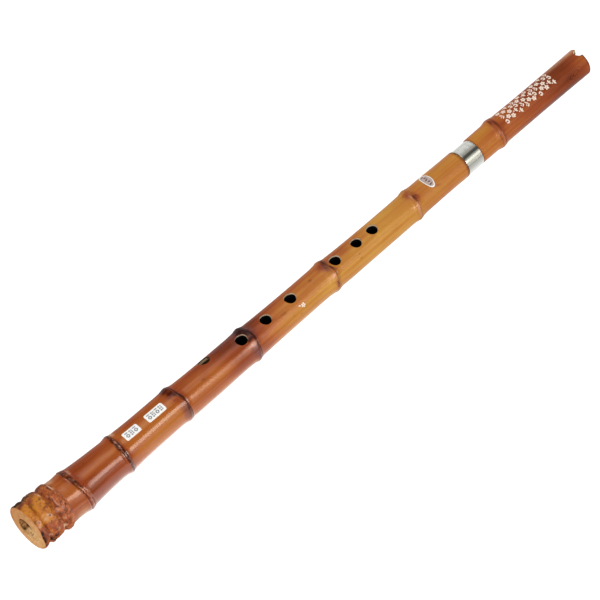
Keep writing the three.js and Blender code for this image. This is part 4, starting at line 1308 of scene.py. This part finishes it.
def card(name, a0, a1, x0, x1, distance, shade, colour=(1.0, 1.0, 1.0)):
    """A panel along the flute that only mirrors in its gloss, from a0 to a1 degrees from +Z towards -Y.

    shade(g, u, v, va) gives its brightness. u is the distance in metres from the foot face at which a
    straight stem mirrors that point; v runs 0 to 1 across the panel and va turns an angle into it."""
    mid, half = math.radians((a0 + a1) / 2), math.radians((a1 - a0) / 2)
    away = Vector((0, -math.sin(mid), math.cos(mid)))
    across = Vector((0, -math.cos(mid), -math.sin(mid)))
    w = distance * math.tan(half)
    ob = new_mesh(name, [(-0.5, -0.5, 0), (0.5, -0.5, 0), (0.5, 0.5, 0), (-0.5, 0.5, 0)], [[0, 1, 2, 3]], False)
    ob.location = Vector(((x0 + x1) / 2, 0, 0)) + away * distance
    ob.rotation_mode = "QUATERNION"
    ob.rotation_quaternion = Matrix([[1, 0, 0], [0, across.y, -away.y], [0, across.z, -away.z]]).to_quaternion()
    ob.scale = (x1 - x0, 2 * w, 1)
    va = lambda deg: 0.5 + 0.5 * math.tan(math.radians(deg) - mid) / math.tan(half)
    reach = distance / math.hypot(cam.location.y, cam.location.z)

    def level(g, x, y, z):
        # mirrored rays go on towards +X, and further where they meet the card at a slant
        t = g.math("MULTIPLY", y, 2 * math.tan(half))
        far = g.math("MULTIPLY", g.math("SQRT", g.math("ADD", 1.0, g.math("MULTIPLY", t, t)), 0.0), reach)
        at = g.math("ADD", g.math("MULTIPLY", x, x1 - x0), (x0 + x1) / 2)
        u = g.math("DIVIDE", g.math("ADD", at, g.math("MULTIPLY", far, cam.location.x)), g.math("ADD", 1.0, far))
        return shade(g, g.math("ADD", u, HALF * MM), g.math("ADD", y, 0.5), va)

    ob.data.materials.append(glow(name, level, colour))
    ob.visible_camera = False
    ob.visible_diffuse = False
    ob.visible_transmission = False
    ob.visible_shadow = False
    return ob


def blend(g, f, a, b):
    """a where f is 0, b where it is 1."""
    return g.math("ADD", g.math("MULTIPLY", a, g.math("SUBTRACT", 1.0, f)), g.math("MULTIPLY", b, f))


def facing_band(g, u):
    """1 on the stretch of a card that the metal band mirrors."""
    return levels(g, u, [(0.0, 0), (0.551, 0), (0.558, 1), (0.592, 1), (0.598, 0), (1.0, 0)])


def key_shade(g, u, v, va):
    along = levels(g, u, [(0.0, 11.0), (0.06, 9.0), (0.10, 7.2), (0.15, 12.0), (0.21, 12.6), (0.235, 7.0), (0.25, 5.3), (0.275, 5.4), (0.31, 2.0), (0.345, 2.2), (0.361, 2.9), (0.375, 2.0), (0.41, 1.6), (0.44, 3.2), (0.50, 3.3), (0.54, 1.5), (0.60, 1.0), (0.66, 0.5), (0.74, 0.5)])
    # the strip lies a little lower from the middle of the stem up
    slip = levels(g, u, [(0.0, 0.02), (0.12, 0.02), (0.15, 0.0), (0.21, 0.0), (0.235, 0.09), (0.345, 0.12), (0.37, 0.07), (1.0, 0.065)])
    strip = levels(g, g.math("SUBTRACT", v, slip), [(va(30), 0.0), (va(36), 0.95), (va(38), 1.0), (va(51), 1.0), (va(54.5), 0.22), (va(58), 0.14), (va(61), 0.26), (va(68), 0.2), (va(76), 0.06), (va(90), 0.03)])
    band = levels(g, v, [(va(21), 0.2), (va(25.2), 0.38), (va(33.5), 0.75), (va(42), 0.95), (va(50), 1.0), (va(56), 0.92), (va(64), 0.86), (va(73), 0.84), (va(82), 0.74), (va(92), 0.6)])
    return blend(g, facing_band(g, u), g.math("MULTIPLY", along, strip), band)


card("key_panel", 21, 92, -0.45, 1.35, 1.25, key_shade, (1.0, 0.99, 0.90))


def side_along(g, u):
    return levels(g, u, [(0.0, 1.2), (0.10, 1.3), (0.15, 2.4), (0.21, 2.45), (0.27, 2.2), (0.34, 0.85), (0.36, 0.67), (0.40, 0.3), (0.50, 0.1), (1.0, 0.1)])


def mid_shade(g, u, v, va):
    side = g.math("MULTIPLY", side_along(g, u),
                  levels(g, v, [(va(-30), 0.5), (va(-22), 0.9), (va(-12), 1.0), (va(-3), 0.85), (va(3), 0.4), (va(10), 0.08), (va(21), 0.02)]))
    band = levels(g, v, [(va(-30), 0.66), (va(-22.6), 0.56), (va(-14), 0.46), (va(-6.2), 0.33), (va(-2.5), 0.16), (va(1), 0.085), (va(17), 0.08), (va(21), 0.2)])
    return blend(g, facing_band(g, u), g.math("ADD", side, 0.05), band)


card("mid_card", -30, 21, -0.45, 1.35, 1.25, mid_shade, (1.0, 0.98, 0.91))


def sky_shade(g, u, v, va):
    side = g.math("MULTIPLY", side_along(g, u), levels(g, v, [(va(-42), 0.0), (va(-30), 0.5)]))
    base = levels(g, u, [(0.0, 0.05), (0.05, 0.05), (0.09, 0.15), (1.0, 0.15)])
    band = levels(g, v, [(va(-92), 0.80), (va(-42), 0.78), (va(-35), 0.72), (va(-30), 0.66)])
    return blend(g, facing_band(g, u), g.math("ADD", side, base), band)


card("sky_card", -92, -30, -0.45, 1.35, 1.25, sky_shade)


def table_shade(g, x, y, z):
    """What the gloss mirrors of the table top: brighter by the root, evenly grey round the metal band."""
    near = levels(g, g.math("ADD", x, 0.5), [(0.0, 0.15), (0.165, 0.2), (0.195, 1.6), (0.23, 2.5), (0.27, 2.1), (0.33, 1.8), (0.40, 1.4), (0.48, 1.1), (0.54, 0.8), (0.70, 0.5), (0.76, 0.25), (1.0, 0.25)])
    near_band = levels(g, g.math("MULTIPLY", y, -1.0), [(0.0, 0.9), (0.021, 0.85), (0.035, 0.66), (0.075, 0.52), (0.22, 0.56), (1.0, 0.6)])
    at_band = levels(g, x, [(0.0, 0), (0.165, 0), (0.185, 1), (0.34, 1), (0.40, 0), (1.0, 0)])
    far_side = g.math("GREATER_THAN", y, 0.0)
    return blend(g, far_side, blend(g, at_band, near, near_band), blend(g, at_band, 0.35, 0.73))


def table_gloss(z):
    """A sheet just over the table, seen in gloss only."""
    ob = new_mesh("table_gloss", [(-0.6, -2.0, z(-0.6) + 0.0006), (1.3, -2.0, z(1.3) + 0.0006), (1.3, 2.0, z(1.3) + 0.0006), (-0.6, 2.0, z(-0.6) + 0.0006)], [[0, 1, 2, 3]], False)
    ob.data.materials.append(glow("table_gloss", table_shade))
    for flag in ("visible_camera", "visible_diffuse", "visible_transmission", "visible_shadow"):
        setattr(ob, flag, False)


def floor(pieces):
    """A white table top that touches the flute's lowest points at the root and at the mouth."""
    low = []
    for ob in pieces:
        co = np.zeros(len(ob.data.vertices) * 3, np.float32)
        ob.data.vertices.foreach_get("co", co)
        co = co.reshape(-1, 3)
        low.append(co[:, [0, 2]])
    low = np.concatenate(low).astype(float)
    low = low[np.argsort(low[:, 0])]
    hull = []
    for p in low:
        while len(hull) > 1 and (hull[-1][0] - hull[-2][0]) * (p[1] - hull[-2][1]) - (hull[-1][1] - hull[-2][1]) * (p[0] - hull[-2][0]) <= 0:
            hull.pop()
        hull.append(p)
    for a, b in zip(hull[:-1], hull[1:]):
        if a[0] <= -0.1 <= b[0]:
            break
    slope = (b[1] - a[1]) / (b[0] - a[0])
    z = lambda x: a[1] + slope * (x - a[0]) - 0.0002
    table_gloss(z)
    s = 8.0
    ob = new_mesh("floor", [(-s, -s, z(-s)), (s, -s, z(s)), (s, s, z(s)), (-s, s, z(-s))], [[0, 1, 2, 3]], False)
    g = Graph("floor_white")
    grain = g.noise((3, 3, 3), 2.0)
    col = g.ramp(grain, [(0.3, (0.97, 0.97, 0.97)), (0.7, (1.0, 1.0, 1.0))])
    emit = g.node("ShaderNodeEmission")
    g.link(col, emit.inputs[0])
    emit.inputs[1].default_value = 1.2
    clear = g.node("ShaderNodeBsdfTransparent")
    geo = g.node("ShaderNodeNewGeometry")
    mix = g.node("ShaderNodeMixShader")
    g.link(geo.outputs["Backfacing"], mix.inputs[0])
    g.link(emit.outputs[0], mix.inputs[1])
    g.link(clear.outputs[0], mix.inputs[2])
    g.link(mix.outputs[0], g.out.inputs[0])
    g.t.nodes.remove(g.bsdf)
    ob.data.materials.append(g.mat)
    return ob


# ------------------------------------------------------------------ build everything
end_grain, hole_wall, bore_inside = face_material(), wall_material(), bore_material()
foot_lacquer = bamboo_material("foot_lacquer", 0.31)
head_lacquer = bamboo_material("head_lacquer", 0.22)


def split_cut(ob, end_x):
    """End faces take the end grain, hole walls the wall finish: material 1 or 3."""
    me = ob.data
    n = len(me.polygons)
    centre = np.zeros(n * 3, np.float32)
    me.polygons.foreach_get("center", centre)
    x = centre.reshape(-1, 3)[:, 0] / MM + HALF
    index = np.zeros(n, np.int32)
    me.polygons.foreach_get("material_index", index)
    far = np.ones(n, bool)
    for e in end_x:
        far &= np.abs(x - e) > 0.5
    index[(index == 1) & far] = 3
    me.polygons.foreach_set("material_index", index)


foot = make_foot()
foot.data.materials.clear()
for m in (foot_lacquer, end_grain, bore_inside, hole_wall):
    foot.data.materials.append(m)
paint(foot, lambda x, th: np.where(x > 540.8, 10.5, bore(x, th)))
split_cut(foot, (0.0, FOOT_END))
sharpen(foot, 38)
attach(foot, "foot")
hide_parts("foot_section")

head = make_head()
head.data.materials.clear()
for m in (head_lacquer, end_grain, bore_inside, hole_wall):
    head.data.materials.append(m)
paint(head, lambda x, th: np.where(x < 590.6, 11.3, 9.6 + 0.6 * (x - 590.6) / 149.4))
split_cut(head, (FOOT_END + 0.4, SHOULDER, LENGTH))
sharpen(head, 38)
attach(head, "head")
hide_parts("head_section")

band = lathe_ring("joint_band", rounded([(FOOT_END + 0.35, 13.3), (FOOT_END + 0.35, 13.88), (SHOULDER - 0.35, 13.88), (SHOULDER - 0.35, 13.3)], 0.22))
band.data.materials.append(band_material())
sharpen(band, 50)
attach(band, "head")
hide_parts("metal_band")

tube_metal = tube_material()
tenon = lathe_ring("tenon", rounded([(541.1, 9.5), (541.1, 10.2), (588.3, 10.2), (588.3, 9.5)], 0.25))
tenon.data.materials.append(tube_metal)
sharpen(tenon, 50)
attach(tenon, "tenon")
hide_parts("tenon_tube")

liner = lathe_ring("liner", rounded([(566.5, 10.5), (566.5, 11.0), (590.3, 11.0), (590.3, 10.5)], 0.18))
liner.data.materials.append(tube_metal)
sharpen(liner, 50)
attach(liner, "head")
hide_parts("socket_liner")

# labels: white plates with a printed row of small lozenges
white = label_material("label_white", seen(252, 250, 246), seen(246, 242, 236))
grey_ink = ink_material("label_ink", seen(168, 172, 176), seen(128, 132, 138))


def plate(name, node, at, length, width, corner, columns):
    phi = phi_of(-1.5)
    lay = Layer(name)
    lay.add(outline_rect(length, width, corner), at, phi, 0, -0.06, 0.28, 9, 0.0, 0.12)
    ob = lay.make(35)
    ob.data.materials.append(white)
    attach(ob, "foot")
    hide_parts(node)
    ink = Layer(name + "_print")
    pitch = (length - 3.4) / columns
    for i in range(columns):
        u = (i - (columns - 1) / 2) * pitch
        if i % 2 == 0:
            ink.add(outline_leaf(pitch * 0.96, 4.2, 4), at, phi, 0, 0.2, 0.31, 2, 0.36, 0.03, (u, 0.9))
            ink.add(outline_rect(pitch * 0.76, 1.2, 0.3), at, phi, 0, 0.2, 0.31, 2, 0.0, 0.03, (u, -2.4))
        else:
            for v in (-2.2, 0.0, 2.2):
                ink.add(outline_leaf(2.4, 1.8, 4), at, phi, 0, 0.2, 0.31, 2, 0.0, 0.03, (u - 0.8, v))
                ink.add(outline_leaf(2.0, 1.4, 4), at, phi, 90, 0.2, 0.31, 2, 0.0, 0.03, (u + 1.2, v * 0.8))
    pr = ink.make(35)
    pr.data.materials.append(grey_ink)
    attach(pr, "foot")
    return ob


plate("lower_plate", "lower_plate_label", 128.0, 18.0, 9.2, 1.3, 3)
plate("upper_plate", "upper_plate_label", 157.7, 22.0, 9.3, 1.5, 4)

OVAL_AT = 522.8
oval = Layer("oval_plate")
oval.add(outline_ellipse(9.8, 20.4, 96), OVAL_AT, phi_of(12), 0, -0.06, 0.2, 8, 0.0, 0.1)
oval = oval.make(35)
oval.data.materials.append(label_material("label_silver", seen(206, 186, 178), seen(180, 158, 150), 0.2, 0.35))
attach(oval, "foot")
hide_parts("oval_label")
rim = Layer("oval_rim")
rim.add(outline_ellipse(9.7, 20.2, 96), OVAL_AT, phi_of(12), 0, 0.12, 0.24, 2, 0.86, 0.03)
rim = rim.make(35)
rim.data.materials.append(white)
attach(rim, "foot")
mark = Layer("oval_print")
for k in range(5):
    v = (k - 2) * 3.0
    mark.add(outline_leaf(3.2 if k % 2 else 4.4, 1.5, 8), OVAL_AT, phi_of(12), 18 if k % 2 else -18, 0.12, 0.23, 2, 0.0, 0.03, (0.5 if k % 2 else -0.4, v))
mark = mark.make(35)
mark.data.materials.append(ink_material("oval_ink", seen(122, 104, 104), seen(86, 70, 72)))
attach(mark, "foot")

# a staggered field of small white inlaid blossoms and leaf sprigs on the head section, one blossom on the foot
inlay_white = ink_material("inlay_white", seen(252, 238, 222), seen(226, 196, 176), 0.4)
vine = Layer("head_inlay")
for column in range(15):
    lead = 629.4 + column * 4.75
    for row, deg in enumerate((38, 10, -17) if column % 2 == 0 else (24, -4)):
        k = column * 3 + row * 2
        x = lead + 0.4 * math.sin(2.3 * k)
        phi = phi_of(deg) + 2.0 * math.sin(1.7 * k)
        kind = k % 5
        if kind in (0, 3):
            blossom(vine, x, phi, 5.0, 23 * k)
        elif kind == 1:
            for t in (-55, 0, 55):
                leaf(vine, x + 1.1 * math.cos(math.radians(t)), phi + 6.0 * math.sin(math.radians(t)), 3.6, 1.6, t)
            vine.add(outline_ellipse(1.4, 1.4, 12), x - 1.9, phi, 0, -0.08, 0.05, 2, 0.0, 0.03)
        elif kind == 2:
            leaf(vine, x, phi - 6, 4.6, 1.6, 60)
            leaf(vine, x + 0.4, phi + 6.5, 4.2, 1.5, -35)
            vine.add(outline_ellipse(1.5, 1.5, 12), x - 1.4, phi + 2.0, 0, -0.08, 0.05, 2, 0.0, 0.03)
        else:
            leaf(vine, x - 0.7, phi - 5.5, 3.8, 1.6, -30)
            leaf(vine, x + 0.8, phi, 4.6, 1.5, 80)
            leaf(vine, x - 0.7, phi + 6.5, 3.6, 1.5, 25)
vine = vine.make(35)
vine.data.materials.append(inlay_white)
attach(vine, "head")

dot = Layer("foot_inlay")
blossom(dot, 340.0, 20.0, 4.6, 15)
leaf(dot, 336.2, 14.5, 3.2, 1.3, 30)
dot = dot.make(35)
dot.data.materials.append(inlay_white)
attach(dot, "foot")

floor([foot, head])
